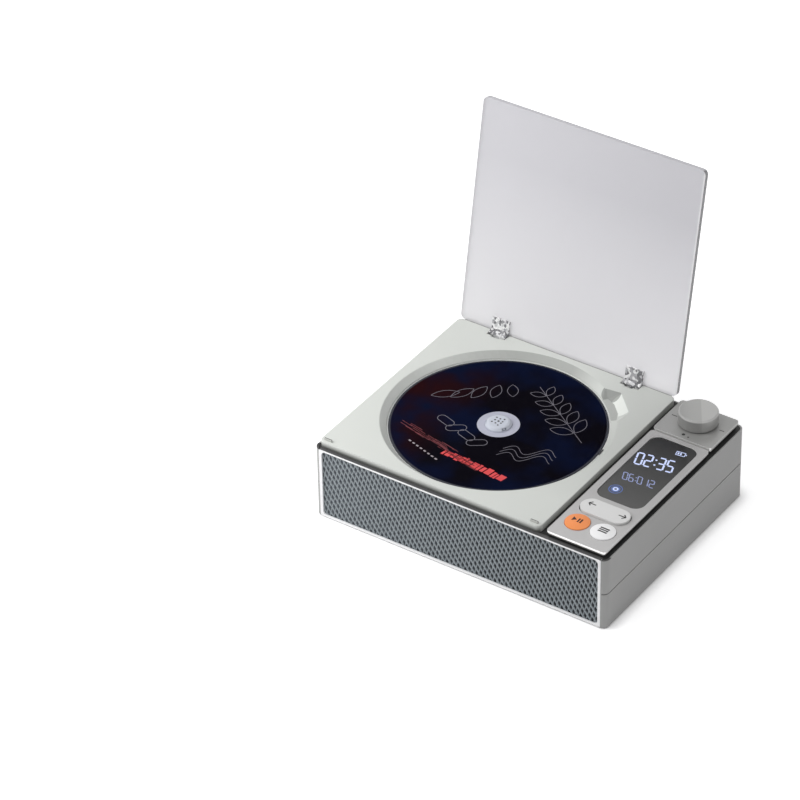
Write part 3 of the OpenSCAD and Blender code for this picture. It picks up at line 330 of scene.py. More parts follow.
def crystal(name):
    """Moulded clear hinge plastic: small facets with painted white and grey glints in their colour."""
    facet_depth = 0.6 * MM
    material, tree, output = new_material(name)
    coords = add_node(tree, "ShaderNodeTexCoord")
    cells = add_node(tree, "ShaderNodeTexVoronoi")
    cells.inputs["Scale"].default_value = 620.0
    tree.links.new(coords.outputs["Object"], cells.inputs["Vector"])
    split = add_node(tree, "ShaderNodeSeparateXYZ")
    tree.links.new(cells.outputs["Color"], split.inputs[0])
    # Painted glints: each facet gets a dark, grey or white colour.
    painted_glint = add_node(tree, "ShaderNodeValToRGB")
    painted_glint.color_ramp.elements[0].position = 0.20
    painted_glint.color_ramp.elements[0].color = (0.20, 0.20, 0.21, 1)
    painted_glint.color_ramp.elements[1].position = 0.75
    painted_glint.color_ramp.elements[1].color = (0.98, 0.98, 0.98, 1)
    middle = painted_glint.color_ramp.elements.new(0.45)
    middle.color = (0.50, 0.50, 0.52, 1)
    tree.links.new(split.outputs["X"], painted_glint.inputs[0])
    bsdf = add_node(tree, "ShaderNodeBsdfPrincipled")
    bsdf.inputs["Roughness"].default_value = 0.08
    bsdf.inputs["Specular IOR Level"].default_value = 0.7
    bsdf.inputs["Transmission Weight"].default_value = 0.15
    tree.links.new(painted_glint.outputs[0], bsdf.inputs["Base Color"])
    bump = add_node(tree, "ShaderNodeBump")
    bump.inputs["Strength"].default_value = 0.5
    bump.inputs["Distance"].default_value = facet_depth
    tree.links.new(cells.outputs["Distance"], bump.inputs["Height"])
    tree.links.new(bump.outputs[0], bsdf.inputs["Normal"])
    tree.links.new(bsdf.outputs[0], output.inputs["Surface"])
    return material


def deck_tone(tree):
    """Painted light and shade on the deck: the skirt darker towards the gap below it, one wall of
    the notch dark and its outer wall light, and the back slope of the well, the notch floor and the
    far right part darker.
    """
    skirt_top, skirt_foot = 48.6 * MM, 45.6 * MM
    skirt_back, skirt_front = -66.0 * MM, -66.5 * MM
    shaded_end_wall, end_wall_reach = (18.2, 54.6, 47.2), 5.6
    lit_outer_wall, outer_wall_reach = (29.0, 49.0, 47.2), 8.2
    notch, notch_reach = (21.0, 46.0, 46.0), 13.0
    notch_top, notch_bottom = 48.0 * MM, 47.5 * MM
    slope_right, slope_left = 10.0 * MM, -12.0 * MM
    shade_left, shade_right = 0.0, 45.0 * MM
    shade_front, shade_back = -45.0 * MM, 10.0 * MM
    across, along, height = (place(tree, axis) for axis in "XYZ")
    forward, upward = facing(tree, "Y"), facing(tree, "Z")
    tilted = ramp(tree, upward, 0.93, 0.89)
    skirt_shade = product(tree, ramp(tree, forward, -0.2, -0.7), ramp(tree, height, skirt_top, skirt_foot),
                    ramp(tree, along, skirt_back, skirt_front))
    back_slope_shade = product(tree, ramp(tree, forward, -0.30, -0.62), tilted, ramp(tree, upward, 0.5, 0.6),
                         ramp(tree, across, slope_right, slope_left))
    notch_floor_shade = product(tree, near(tree, notch, notch_reach),
                          ramp(tree, height, notch_top, notch_bottom), ramp(tree, upward, 0.90, 0.95))
    far_right_shade = product(tree, ramp(tree, across, shade_left, shade_right),
                        ramp(tree, along, shade_front, shade_back))
    # Each factor is painted shade, except the lit outer wall, which is a painted highlight.
    return product(
        tree,
        tone_where(tree, skirt_shade, 0.20),
        tone_where(tree, product(tree, near(tree, shaded_end_wall, end_wall_reach), tilted), 0.50),
        tone_where(tree, product(tree, near(tree, lit_outer_wall, outer_wall_reach), tilted), 1.32),
        tone_where(tree, back_slope_shade, 0.62),
        tone_where(tree, notch_floor_shade, 0.74),
        tone_where(tree, far_right_shade, 0.84),
    )


def case_tone(tree):
    """The rim's edge has a painted highlight, and painted shade in the dark gap below the deck's
    front.
    """
    below_rim, rim = 44.2 * MM, 44.5 * MM
    gap_back, gap_front = -65.5 * MM, -66.5 * MM
    edge = ramp(tree, place(tree, "Z"), below_rim, rim)
    front = ramp(tree, place(tree, "Y"), gap_back, gap_front)
    return product(tree, tone_where(tree, edge, 1.3),
                   tone_where(tree, product(tree, edge, front), 0.14))


def frame_tone(tree):
    """Painted shade: the top of the frame's rail, in the dark gap below the deck, is painted dark."""
    rail_start, rail_top = 40.0 * MM, 40.5 * MM
    top = ramp(tree, place(tree, "Z"), rail_start, rail_top)
    return tone_where(tree, product(tree, ramp(tree, facing(tree, "Z"), 0.5, 0.8), top), 0.10)


def plate_tone(tree):
    """Painted light on a control plate: highlights on the front and side edges of its skin,
    painted shade on its carrier below, and lighter at the front than at the back.
    """
    carrier_top, skin_foot = 46.4 * MM, 46.7 * MM
    lit_end, dark_end = -60.0 * MM, 10.0 * MM
    skin = ramp(tree, place(tree, "Z"), carrier_top, skin_foot)
    front_edge_highlight = product(tree, skin, ramp(tree, facing(tree, "Y"), -0.3, -0.7))
    side_edge_highlight = product(tree, skin, ramp(tree, facing(tree, "X"), 0.3, 0.7))
    return product(
        tree,
        ramp(tree, place(tree, "Y"), lit_end, dark_end, 1.20, 0.94),
        ramp(tree, skin, 0.0, 1.0, 0.18, 1.0),
        tone_where(tree, front_edge_highlight, 2.4),
        tone_where(tree, side_edge_highlight, 1.35),
    )


def knob_tone(tree):
    """A slanted line parts the knob's top into a darker and a lighter tone as painted reflection,
    and its side is painted darker as shade.
    """
    slant = 0.64
    shaded_side, lit_side = 109.8 * MM, 110.2 * MM
    along = combine(tree, "MULTIPLY", place(tree, "Y"), slant)
    across = combine(tree, "ADD", place(tree, "X"), along)
    return product(tree, ramp(tree, across, shaded_side, lit_side, 0.94, 1.10),
                   ramp(tree, facing(tree, "Z"), 0.3, 0.8, 0.80, 1.0))


def cloth_tone(tree):
    """Painted light: the cloth behind the grille is painted lighter on the left."""
    left, middle = -90.0 * MM, 30.0 * MM
    return ramp(tree, place(tree, "X"), left, middle, 3.4, 1.0)


def bumper_tone(tree):
    """Only the back of a lid bumper stands out dark."""
    pale_end, dark_end = -66.80 * MM, -66.72 * MM
    return ramp(tree, place(tree, "Y"), pale_end, dark_end, 9.0, 1.0)


finishes = {
    "case_grey": surface("case_grey", (0.365, 0.365, 0.36), 0.5, grain=0.2, mottle=0.02, edge=0.4,
                         tone=case_tone),
    "black_tray": surface("black_tray", (0.008, 0.008, 0.008), 0.6, grain=0.2),
    "foot_rubber": surface("foot_rubber", (0.03, 0.03, 0.031), 0.75, grain=0.4),
    "dark_steel": surface("dark_steel", (0.06, 0.06, 0.065), 0.35, 0.9, grain=0.1),
    "bright_steel": surface("bright_steel", (0.62, 0.62, 0.64), 0.18, 1.0, grain=0.03),
    "frame_white": surface("frame_white", (0.88, 0.88, 0.89), 0.3, grain=0.05, tone=frame_tone),
    "mesh_slate": surface("mesh_slate", (0.25, 0.28, 0.30), 0.45, 0.0, grain=0.15, mottle=0.08,
                          mottle_scale=200),
    "speaker_steel": surface("speaker_steel", (0.07, 0.07, 0.075), 0.4, 0.6, grain=0.1),
    "cone_black": surface("cone_black", (0.02, 0.02, 0.022), 0.85, grain=0.6, grain_scale=900),
    "magnet_grey": surface("magnet_grey", (0.12, 0.12, 0.125), 0.6, grain=0.4),
    "deck_sage": surface("deck_sage", (0.66, 0.68, 0.645), 0.42, grain=0.12, mottle=0.008,
                         edge=0.9, tone=deck_tone),
    "control_metal": surface("control_metal", (0.46, 0.455, 0.45), 0.34, 0.3, grain=0.22,
                             mottle=0.012, tone=plate_tone),
    "display_glass": window_glass("display_glass"),
    "board_green": surface("board_green", (0.015, 0.10, 0.045), 0.3, grain=0.1, mottle=0.06),
    "switch_black": surface("switch_black", (0.015, 0.015, 0.017), 0.5, grain=0.15),
    "clear_plastic": crystal("clear_plastic"),
    "motor_steel": surface("motor_steel", (0.36, 0.37, 0.39), 0.3, 1.0, grain=0.08,
                           stretch=(1, 1, 12)),
    "chassis_steel": surface("chassis_steel", (0.45, 0.46, 0.47), 0.35, 1.0, grain=0.1,
                             stretch=(8, 1, 1)),
    "battery_blue": surface("battery_blue", (0.05, 0.13, 0.38), 0.3, grain=0.1, mottle=0.03),
    "lid_frost": frosted("lid_frost", (0.80, 0.795, 0.81), (0.645, 0.64, 0.67), 0.22),
    "disc_dark": surface("disc_dark", (0.008, 0.009, 0.014), 0.3, grain=0.02, mottle=0.05,
                         specular=0.25),
    "hub_plastic": surface("hub_plastic", (0.56, 0.59, 0.66), 0.25, grain=0.04, edge=0.4),
    "knob_grey": surface("knob_grey", (0.42, 0.42, 0.41), 0.32, 0.35, grain=0.15, edge=0.3,
                         tone=knob_tone),
    "button_orange": surface("button_orange", (0.95, 0.31, 0.090), 0.3, grain=0.05, edge=0.4),
    "button_white": surface("button_white", (0.95, 0.95, 0.95), 0.3, grain=0.05, edge=0.4),
    "rocker_pale": surface("rocker_pale", (0.74, 0.74, 0.73), 0.32, grain=0.05, edge=0.5),
    "lens_glass": clear_plastic("lens_glass", (0.62, 0.74, 0.88)),
    "gear_nylon": surface("gear_nylon", (0.78, 0.77, 0.72), 0.45, grain=0.1),
}
for part in frame["record"]["subparts"]:
    obj = nodes[part["node"]]
    obj.data.materials.clear()
    obj.data.materials.append(finishes[part["material_slot"]])
# The rear plate gets a darker copy of the control metal, as painted shade.
shaded_knob_plate = surface("shaded_knob_plate", (0.385, 0.385, 0.375), 0.32, 0.35, grain=0.22, mottle=0.012,
                     tone=plate_tone)
nodes["rear_plate"].data.materials[0] = shaded_knob_plate
nodes["hub_balls"].data.materials[0] = finishes["hub_plastic"]
bumper_grey = surface("bumper_grey", (0.055, 0.056, 0.053), 0.6, grain=0.2, tone=bumper_tone)
nodes["lid_bumpers"].data.materials[0] = bumper_grey
ink_black = surface("ink_black", (0.012, 0.012, 0.012), 0.5, grain=0.05)


# Shapes

def piece(name, bm, body, material):
    """A new object from a mesh, riding a body and named in a material slot."""
    mesh = bpy.data.meshes.new(name)
    bmesh.ops.recalc_face_normals(bm, faces=bm.faces)
    bm.to_mesh(mesh)
    bm.free()
    mesh.materials.append(material)
    obj = bpy.data.objects.new(name, mesh)
    bpy.context.scene.collection.objects.link(obj)
    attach(obj, body)
    return obj


def prism(bm, outline, z0, z1):
    """A flat shape in mm, given as points in order, from height z0 to z1."""
    low = [bm.verts.new((x * MM, y * MM, z0 * MM)) for x, y in outline]
    high = [bm.verts.new((x * MM, y * MM, z1 * MM)) for x, y in outline]
    bm.faces.new(low)
    bm.faces.new(high)
    count = len(outline)
    for i in range(count):
        j = (i + 1) % count
        bm.faces.new((low[i], low[j], high[j], high[i]))


def stroke(bm, start, end, width, z0, z1):
    """A straight flat bar from one point to another, in mm."""
    a = Vector(start)
    b = Vector(end)
    side = (b - a).normalized().orthogonal() * width / 2
    prism(bm, [tuple(a + side), tuple(b + side), tuple(b - side), tuple(a - side)], z0, z1)


def ring(bm, centre, outer, inner, z0, z1, steps=48):
    """A flat ring in mm."""
    rows = []
    for i in range(steps):
        a = math.radians(360.0 * i / steps)
        c, s = math.cos(a), math.sin(a)
        row = []
        for r, z in ((inner, z0), (outer, z0), (outer, z1), (inner, z1)):
            row.append(bm.verts.new(((centre[0] + r * c) * MM, (centre[1] + r * s) * MM, z * MM)))
        rows.append(row)
    for i in range(steps):
        a = rows[i]
        b = rows[(i + 1) % steps]
        for k in range(4):
            m = (k + 1) % 4
            bm.faces.new((a[k], a[m], b[m], b[k]))


def disc_shape(bm, centre, radius, z0, z1, steps=32):
    """A flat round plate in mm."""
    prism(bm, [(centre[0] + radius * math.cos(2 * math.pi * i / steps),
                centre[1] + radius * math.sin(2 * math.pi * i / steps)) for i in range(steps)],
          z0, z1)


def disc_place():
    """The disc's centre along X and the height of its face, in mm."""
    low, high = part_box("compact_disc")
    return (low.x + high.x) / 2 / MM, high.z / MM


# Grille

def mesh_cell(bm, centre, falling, rising, front):
    """One cell: a flat outer rim, a steep slope and a four-sided hole."""
    rims = ((1.0, 1.0, 0.0), (0.80, 0.74, 0.08), (0.68, 0.60, 0.5))
    loops = []
    for along, across, depth in rims:
        loop = []
        for u, v in ((1, 1), (1, -1), (-1, -1), (-1, 1)):
            corner = centre + (falling * u * along + rising * v * across) / 2
            loop.append(bm.verts.new((corner.x * MM, (front + depth) * MM, corner.y * MM)))
        loops.append(loop)
    for outer, inner in zip(loops, loops[1:]):
        for k in range(4):
            m = (k + 1) % 4
            bm.faces.new((outer[k], outer[m], inner[m], inner[k]))


def grille():
    """An open mesh of slanted cells, cut to the frame's opening, with dark cloth behind it."""
    falling, rising = Vector((1.755, -2.349)), Vector((0.976, 3.83))
    past_side, past_top, spare_cells = 3, 4, 8
    cloth_depth = 0.62
    low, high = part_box("grille_mesh")
    front = low.y / MM
    x0, x1, z0, z1 = low.x / MM, high.x / MM, low.z / MM, high.z / MM
    middle = Vector((0, (z0 + z1) / 2))
    reach = int((x1 - x0) / abs(falling.x)) + spare_cells
    bm = bmesh.new()
    for i in range(-reach, reach + 1):
        for j in range(-reach, reach + 1):
            centre = falling * i + rising * j + middle
            inside = x0 - past_side < centre.x < x1 + past_side
            if inside and z0 - past_top < centre.y < z1 + past_top:
                mesh_cell(bm, centre, falling, rising, front)
    for point, normal in (((x0, 0, 0), (-1, 0, 0)), ((x1, 0, 0), (1, 0, 0)),
                          ((0, 0, z0), (0, 0, -1)), ((0, 0, z1), (0, 0, 1))):
        geometry = bm.verts[:] + bm.edges[:] + bm.faces[:]
        bmesh.ops.bisect_plane(bm, geom=geometry, dist=1e-7, plane_co=Vector(point) * MM,
                               plane_no=normal, clear_outer=True)
    bmesh.ops.remove_doubles(bm, verts=bm.verts, dist=1e-6)
    mesh = piece("grille_open_mesh", bm, "case", finishes["mesh_slate"])
    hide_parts("grille_mesh")
    bm = bmesh.new()
    bm.faces.new([bm.verts.new((x * MM, (front + cloth_depth) * MM, z * MM))
                  for x, z in ((x0, z0), (x1, z0), (x1, z1), (x0, z1))])
    piece("grille_cloth", bm, "case",
          surface("grille_cloth", (0.028, 0.032, 0.036), 0.9, grain=0.8, grain_scale=1500,
                  tone=cloth_tone))


# Well and lid foot

def well_lining():
    """The moulded ledge, paler than the deck as a painted highlight, that shows as a light line
    round the disc.
    """
    outer, inner = 60.86, 60.12
    foot, crest = -1.5, -0.35
    cx, top = disc_place()
    bm = bmesh.new()
    ring(bm, (cx, 0), outer, inner, top + foot, top + crest, steps=160)
    piece("well_lining", bm, "case",
          surface("ledge_highlight_sage", (0.80, 0.81, 0.79), 0.4, grain=0.1))


def lid_foot_shade_strip():
    """A grey strip of painted shade that closes the sight line between the lid's lower edge and the
    deck, and moves with the lid.
    """
    lean = math.radians(10.8)
    axis = Vector((0, 67.1, 48.4))
    side_gap = 3.2
    foot, crest = 0.05, 0.75
    inner, outer = 2.05, 4.7
    low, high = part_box("lid_panel")
    upward = Vector((0, math.sin(lean), math.cos(lean)))
    outward = Vector((0, math.cos(lean), -math.sin(lean)))
    bm = bmesh.new()
    ends = []
    for x in (low.x / MM + side_gap, high.x / MM - side_gap):
        ends.append([bm.verts.new((axis + upward * a + outward * n + Vector((x, 0, 0))) * MM)
                     for a, n in ((foot, inner), (crest, inner), (crest, outer), (foot, outer))])
    bm.faces.new(ends[0])
    bm.faces.new(ends[1])
    for k in range(4):
        m = (k + 1) % 4
        bm.faces.new((ends[0][k], ends[0][m], ends[1][m], ends[1][k]))
    piece("lid_foot_shade_strip", bm, "lid",
          surface("foot_strip", (0.30, 0.30, 0.30), 0.5, grain=0.1))


# Display and marks

SEGMENTS = {"0": "abcdef", "1": "bc", "2": "abged", "3": "abgcd", "5": "afgcd", "6": "afgedc"}


def seven_segment(bm, digit, x, y, width, height, line, z0, z1):
    """A digit of up to seven straight bars with small gaps between them."""
    w, h, m = width, height, height / 2
    gap = line * 0.3
    spans = {
        "a": ((0, h), (w, h)), "b": ((w, h), (w, m)), "c": ((w, m), (w, 0)),
        "d": ((0, 0), (w, 0)), "e": ((0, m), (0, 0)), "f": ((0, h), (0, m)),
        "g": ((0, m), (w, m)),
    }
    for key in SEGMENTS[digit]:
        (ax, ay), (bx, by) = spans[key]
        a = Vector((x + ax, y + ay))
        b = Vector((x + bx, y + by))
        trim = (b - a).normalized() * gap
        stroke(bm, a + trim, b - trim, line, z0, z1)


def skewed(bm, origin, across, upward):
    """Moves a drawing made in a unit frame onto a slanted one."""
    for vert in bm.verts:
        x, y = vert.co.x / MM, vert.co.y / MM
        vert.co.x = (origin[0] + x * across[0] + y * upward[0]) * MM
        vert.co.y = (origin[1] + x * across[1] + y * upward[1]) * MM


def number_row(text, line, z0, z1, origin, across, upward):
    """A row of digits and colons, drawn one unit high and then slanted."""
    cell, width = 0.50, 0.35
    colon_cell, colon_place, colon_rows = cell * 0.42, cell * 0.12, (0.3, 0.7)
    bm = bmesh.new()
    x = 0.0
    for mark in text:
        if mark == ":":
            for y in colon_rows:
                disc_shape(bm, (x + colon_place, y), line * 0.62, z0, z1, 8)
            x += colon_cell
        else:
            seven_segment(bm, mark, x, line / 2, width, 1.0 - line, line, z0, z1)
            x += cell
    skewed(bm, origin, across, upward)
    return bm


def display():
    """Two rows of digits, a disc icon and a battery icon, on top of the display window."""
    icon, spot_lift = (66.0, -18.3), 0.01
    battery, battery_across, battery_up = (76.7, 25.2), (1, 0.13), (-0.2, 1)
    shell_line, bar_line = 0.42, 0.9
    digit_glow = glow("digit_glow", (0.60, 0.68, 0.98), 1.1)
    dim = glow("digit_dim", (0.48, 0.55, 0.90), 0.62)
    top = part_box("display_lens")[1].z / MM
    z0, z1 = top + 0.005, top + 0.03
    large = number_row("02:35", 0.095, z0, z1, (62.3, 6.0), (10.2, 1.7), (-3.2, 10.6))
    piece("digits_large", large, "case", digit_glow)
    small = number_row("06:012", 0.090, z0, z1, (64.2, -8.9), (7.1, 0.6), (-2.5, 6.3))
    piece("digits_small", small, "case", dim)
    bm = bmesh.new()
    for outer, inner in ((3.9, 3.3), (2.6, 0.7)):
        ring(bm, icon, outer, inner, z0, z1)
    piece("disc_icon", bm, "case", glow("icon_glow", (0.24, 0.34, 0.75), 0.50))
    bm = bmesh.new()
    ring(bm, icon, 1.6, 0.75, z0 + spot_lift, z1 + spot_lift, steps=24)
    piece("disc_icon_middle", bm, "case", digit_glow)
    bm = bmesh.new()
    for a, b in (((0, 0), (5, 0)), ((0, 3), (5, 3)), ((0, 0), (0, 3)), ((5, 0), (5, 3)),
                 ((5.7, 0.9), (5.7, 2.1))):
        stroke(bm, a, b, shell_line, z0, z1)
    for x in (1.2, 2.6):
        stroke(bm, (x, 0.7), (x, 2.3), bar_line, z0, z1)
    skewed(bm, battery, battery_across, battery_up)
    piece("battery_icon", bm, "case", digit_glow)


def key_marks():
    """A play and pause mark and three bars, raised through the two round keys."""
    power_x, mode_x, key_y = 64.4, 80.6, -53.6
    line, depth = 0.9, 0.45
    triangle = ((-2.9, -1.6), (-0.4, 0), (-2.9, 1.6))
    brown = surface("mark_brown", (0.035, 0.010, 0.005), 0.5, grain=0.05)
    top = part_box("power_button")[1].z / MM
    bm = bmesh.new()
    prism(bm, [(power_x + x, key_y + y) for x, y in triangle], top - depth, top)
    for x in (0.8, 2.3):
        stroke(bm, (power_x + x, key_y - 1.7), (power_x + x, key_y + 1.7), line, top - depth, top)
    piece("power_mark", bm, "power_key", brown)
    bm = bmesh.new()
    for y in (-1.5, 0, 1.5):
        stroke(bm, (mode_x - 2.7, key_y + y), (mode_x + 2.7, key_y + y), line, top - depth, top)
    piece("mode_mark", bm, "mode_key", ink_black)


def rocker_marks():
    """An arrow at each end of the rocker, pointing outwards."""
    line, half, barb_back, barb_rise = 0.68, 2.2, 0.5, 1.7
    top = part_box("track_rocker")[1].z / MM
    foot, shaft_top, barb_top = top - 0.3, top + 0.03, top + 0.035
    bm = bmesh.new()
    for side, x, y in ((-1, 63.8, -37.7), (1, 82.6, -38.4)):
        tip = (x + side * half, y)
        stroke(bm, (x - side * half, y), tip, line, foot, shaft_top)
        for way in (-1, 1):
            stroke(bm, tip, (x + side * barb_back, y + way * barb_rise), line, foot, barb_top)
    piece("rocker_marks", bm, "rocker", ink_black)


def volume_marks():
    """Two ticks beside the knob and two dots in front of it."""
    line = 0.55
    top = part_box("rear_plate")[1].z / MM
    z0, z1 = top - 0.02, top + 0.012
    bm = bmesh.new()
    stroke(bm, (57.0, 53.9), (60.3, 53.9), line, z0, z1)
    stroke(bm, (85.8, 55.7), (88.8, 55.7), line, z0, z1)
    disc_shape(bm, (71.7, 41.7), 0.95, z0, z1)
    disc_shape(bm, (75.1, 40.9), 0.55, z0, z1)
    piece("volume_marks", bm, "case", ink_black)


# Disc label

def label_ground():
    """Printed ground: near black, with deep blue clouds and wine red ones on the left."""
    middle, left = -35.0 * MM, -66.0 * MM
    black, blue, wine = (0.0022, 0.0017, 0.0040), (0.0022, 0.0045, 0.020), (0.016, 0.0025, 0.004)
    material, tree, output = new_material("label_ground")
    bsdf = add_node(tree, "ShaderNodeBsdfPrincipled")
    bsdf.inputs["Roughness"].default_value = 0.45
    bsdf.inputs["Specular IOR Level"].default_value = 0.01
    coords = add_node(tree, "ShaderNodeTexCoord")
    noise = add_node(tree, "ShaderNodeTexNoise")
    noise.inputs["Scale"].default_value = 26.0
    noise.inputs["Detail"].default_value = 3.0
    tree.links.new(coords.outputs["Object"], noise.inputs["Vector"])
    clouds = noise.outputs["Fac"]
    ground = blend_colours(tree, ramp(tree, clouds, 0.42, 0.60), black, blue)
    patch = product(tree, ramp(tree, place(tree, "X"), middle, left), ramp(tree, clouds, 0.62, 0.44))
    tree.links.new(blend_colours(tree, patch, ground, wine), bsdf.inputs["Base Color"])
    tree.links.new(bsdf.outputs[0], output.inputs["Surface"])
    return material


def open_line(bm, points, width, z0, z1):
    """Straight bars from point to point."""
    for a, b in zip(points, points[1:]):
        stroke(bm, a, b, width, z0, z1)


def closed_line(bm, points, width, z0, z1):
    """An open line that also returns to its first point."""
    open_line(bm, points + points[:1], width, z0, z1)


def turned(cx, cy, x, y, turn):
    """A point turned about the origin and then moved to a centre."""
    return (cx + x * math.cos(turn) - y * math.sin(turn),
            cy + x * math.sin(turn) + y * math.cos(turn))


def leaf(cx, cy, length, width, turn, count=18):
    """A leaf outline with two pointed ends."""
    out = []
    for side in (1, -1):
        for i in range(count):
            t = i / count
            x = (t - 0.5) * length * side
            y = side * width / 2 * math.sin(math.pi * t) ** 0.8
            out.append(turned(cx, cy, x, y, turn))
    return out


def rounded_link(cx, cy, length, width, turn, count=8):
    """A chain link: a rounded rectangle outline."""
    out = []
    radius = width / 2
    for side in (1, -1):
        for i in range(count + 1):
            a = (i / count - 0.5) * math.pi
            x = side * (length / 2 - radius + radius * math.cos(a))
            y = side * radius * math.sin(a)
            out.append(turned(cx, cy, x, y, turn))
    return out


def twig(bm, cx, z0, z1):
    """A straight stem with pairs of leaves that grow smaller along it."""
    turn, step, line, way = 2.55, 9.4, 0.36, 0.85
    start_x, start_y = 47, 10
    stem = [(cx + start_x + step * k * math.cos(turn), start_y + step * k * math.sin(turn))
            for k in range(7)]
    open_line(bm, stem, line, z0, z1)
    for k, (x, y) in enumerate(stem[1:-1]):
        reach, length, width = 7.4 - 0.6 * k, 13.4 - 1.1 * k, 6.4 - 0.5 * k
        for lean in (turn + way, turn - way):
            outline = leaf(x + reach * math.cos(lean), y + reach * math.sin(lean), length, width, lean)
            closed_line(bm, outline, line, z0, z1)


def leaf_row(bm, cx, z0, z1):
    """Five leaves that turn and shorten along a rising row."""
    line, length, shorter, width = 0.34, 16.0, 1.2, 6.0
    start_x, start_y, step_x, step_y = -40, 8, 7.4, 5.6
    first_turn, turn_step = 0.75, 0.35
    for k in range(5):
        outline = leaf(cx + start_x + step_x * k, start_y + step_y * k, length - shorter * k, width,
                       first_turn + turn_step * k)
        closed_line(bm, outline, line, z0, z1)


def chain(bm, cx, z0, z1):
    """Four links in a falling row, with every other one turned."""
    line, length, width = 0.42, 11.5, 5.2
    start_x, start_y, step_x, step_y = -26, -12.5, 8.4, -2.6
    lean, bend = -0.3, 0.9
    for k in range(4):
        turn = lean + (bend if k % 2 else 0.0)
        outline = rounded_link(cx + start_x + step_x * k, start_y + step_y * k, length, width, turn)
        closed_line(bm, outline, line, z0, z1)


def waves(bm, cx, z0, z1):
    """Three waves, one below the other, that climb a little to the right."""
    line, height, pace, row_gap = 0.34, 3.6, 0.55, 3.4
    start_x, start_y, step_x, climb = 14, -17, 1.5, 0.6
    for row in range(3):
        wave = [(cx + start_x + step_x * k,
                 start_y - row_gap * row + height * math.sin(k * pace) + climb * k)
                for k in range(20)]
        open_line(bm, wave, line, z0, z1)


def wine_lines(bm, rng, cx, z0, z1):
    """Thin strokes scattered along a falling line."""
    count, step, fall, line = 44, 1.2, 0.24, 0.34
    start_x, start_y = -45, -25.5
    for k in range(count):
        x = cx + start_x + step * k + rng.uniform(-2.5, 2.5)
        y = start_y - fall * (x - cx - start_x) + rng.uniform(-2.6, 2.6)
        reach = rng.uniform(5.0, 12.0)
        stroke(bm, (x, y), (x + reach, y - fall * reach), line, z0, z1)


def red_tiles(bm, rng, cx, z0, z1):
    """A row of plain leaning tiles of uneven widths."""
    start, end, base, lean = -12.0, 26.0, -38.5, 1.0
    row_fall, tile_fall = 0.10, 0.12
    x = start
    while x < end:
        wide = rng.uniform(1.2, 4.0)
        tall = rng.uniform(4.0, 5.6)
        y = base - row_fall * (x - start) + rng.uniform(-0.5, 0.5)
        right, drop = cx + x + wide, tile_fall * wide
        prism(bm, [(cx + x, y), (right, y - drop), (right + lean, y - drop + tall),
                   (cx + x + lean, y + tall)], z0, z1)
        x += wide + rng.uniform(0.35, 0.8)


def dashes(bm, cx, z0, z1):
    """A falling row of short pale dashes."""
    count, step, fall = 8, 3.0, 0.9
    start_x, start_y = -33, -38.0
    length, drop, line = 1.6, 0.4, 1.0
    for k in range(count):
        x, y = cx + start_x + step * k, start_y - fall * k
        stroke(bm, (x, y), (x + length, y - drop), line, z0, z1)


def label():
    """The printed label: a dark ground with generic line drawings, tiles and dashes."""
    ground_outer, ground_inner, ground_height = 58.8, 11.8, 0.02
    print_foot, print_height = 0.015, 0.03
    cx, top = disc_place()
    z0, z1 = top + print_foot, top + print_height
    rng = random.Random(7)
    bm = bmesh.new()
    ring(bm, (cx, 0), ground_outer, ground_inner, top + DISC_CLEARANCE, top + ground_height,
         steps=128)
    piece("label_ground", bm, "disc_drive", label_ground())
    bm = bmesh.new()
    twig(bm, cx, z0, z1)
    leaf_row(bm, cx, z0, z1)
    chain(bm, cx, z0, z1)
    waves(bm, cx, z0, z1)
    piece("label_outlines", bm, "disc_drive",
          surface("label_line", (0.145, 0.138, 0.165), 0.5, grain=0.02))
    bm = bmesh.new()
    wine_lines(bm, rng, cx, z0, z1)
    piece("label_wine_lines", bm, "disc_drive",
          surface("label_wine", (0.15, 0.016, 0.024), 0.5, grain=0.02))
    bm = bmesh.new()
    red_tiles(bm, rng, cx, z0, z1)
    piece("label_red_bars", bm, "disc_drive",
          surface("label_red", (0.70, 0.055, 0.060), 0.5, grain=0.02))
    bm = bmesh.new()
    dashes(bm, cx, z0, z1)
    piece("label_dashes", bm, "disc_drive",
          surface("label_soft", (0.34, 0.30, 0.32), 0.5, grain=0.02))


def disc_rings():
    """The disc's clear rim, and the pale clamping ring round the hub with its raised bead."""
    rim_outer, rim_inner, rim_height = 60.0, 58.85, 0.012
    clamp_outer, clamp_inner, clamp_height = 11.75, 7.5, 0.014
    bead_outer, bead_inner, bead_foot, bead_height = 10.4, 10.1, 0.01, 0.05
    cx, top = disc_place()
    bm = bmesh.new()
    ring(bm, (cx, 0), rim_outer, rim_inner, top + DISC_CLEARANCE, top + rim_height, steps=128)
    piece("disc_rim", bm, "disc_drive",
          surface("disc_clear_rim", (0.035, 0.038, 0.05), 0.2, 0.3, grain=0.02, specular=0.3))
    bm = bmesh.new()
    ring(bm, (cx, 0), clamp_outer, clamp_inner, top + DISC_CLEARANCE, top + clamp_height, steps=96)
    ring(bm, (cx, 0), bead_outer, bead_inner, top + bead_foot, top + bead_height, steps=96)
    piece("disc_centre", bm, "disc_drive",
          surface("disc_centre", (0.47, 0.48, 0.57), 0.26, 0.1, grain=0.03))


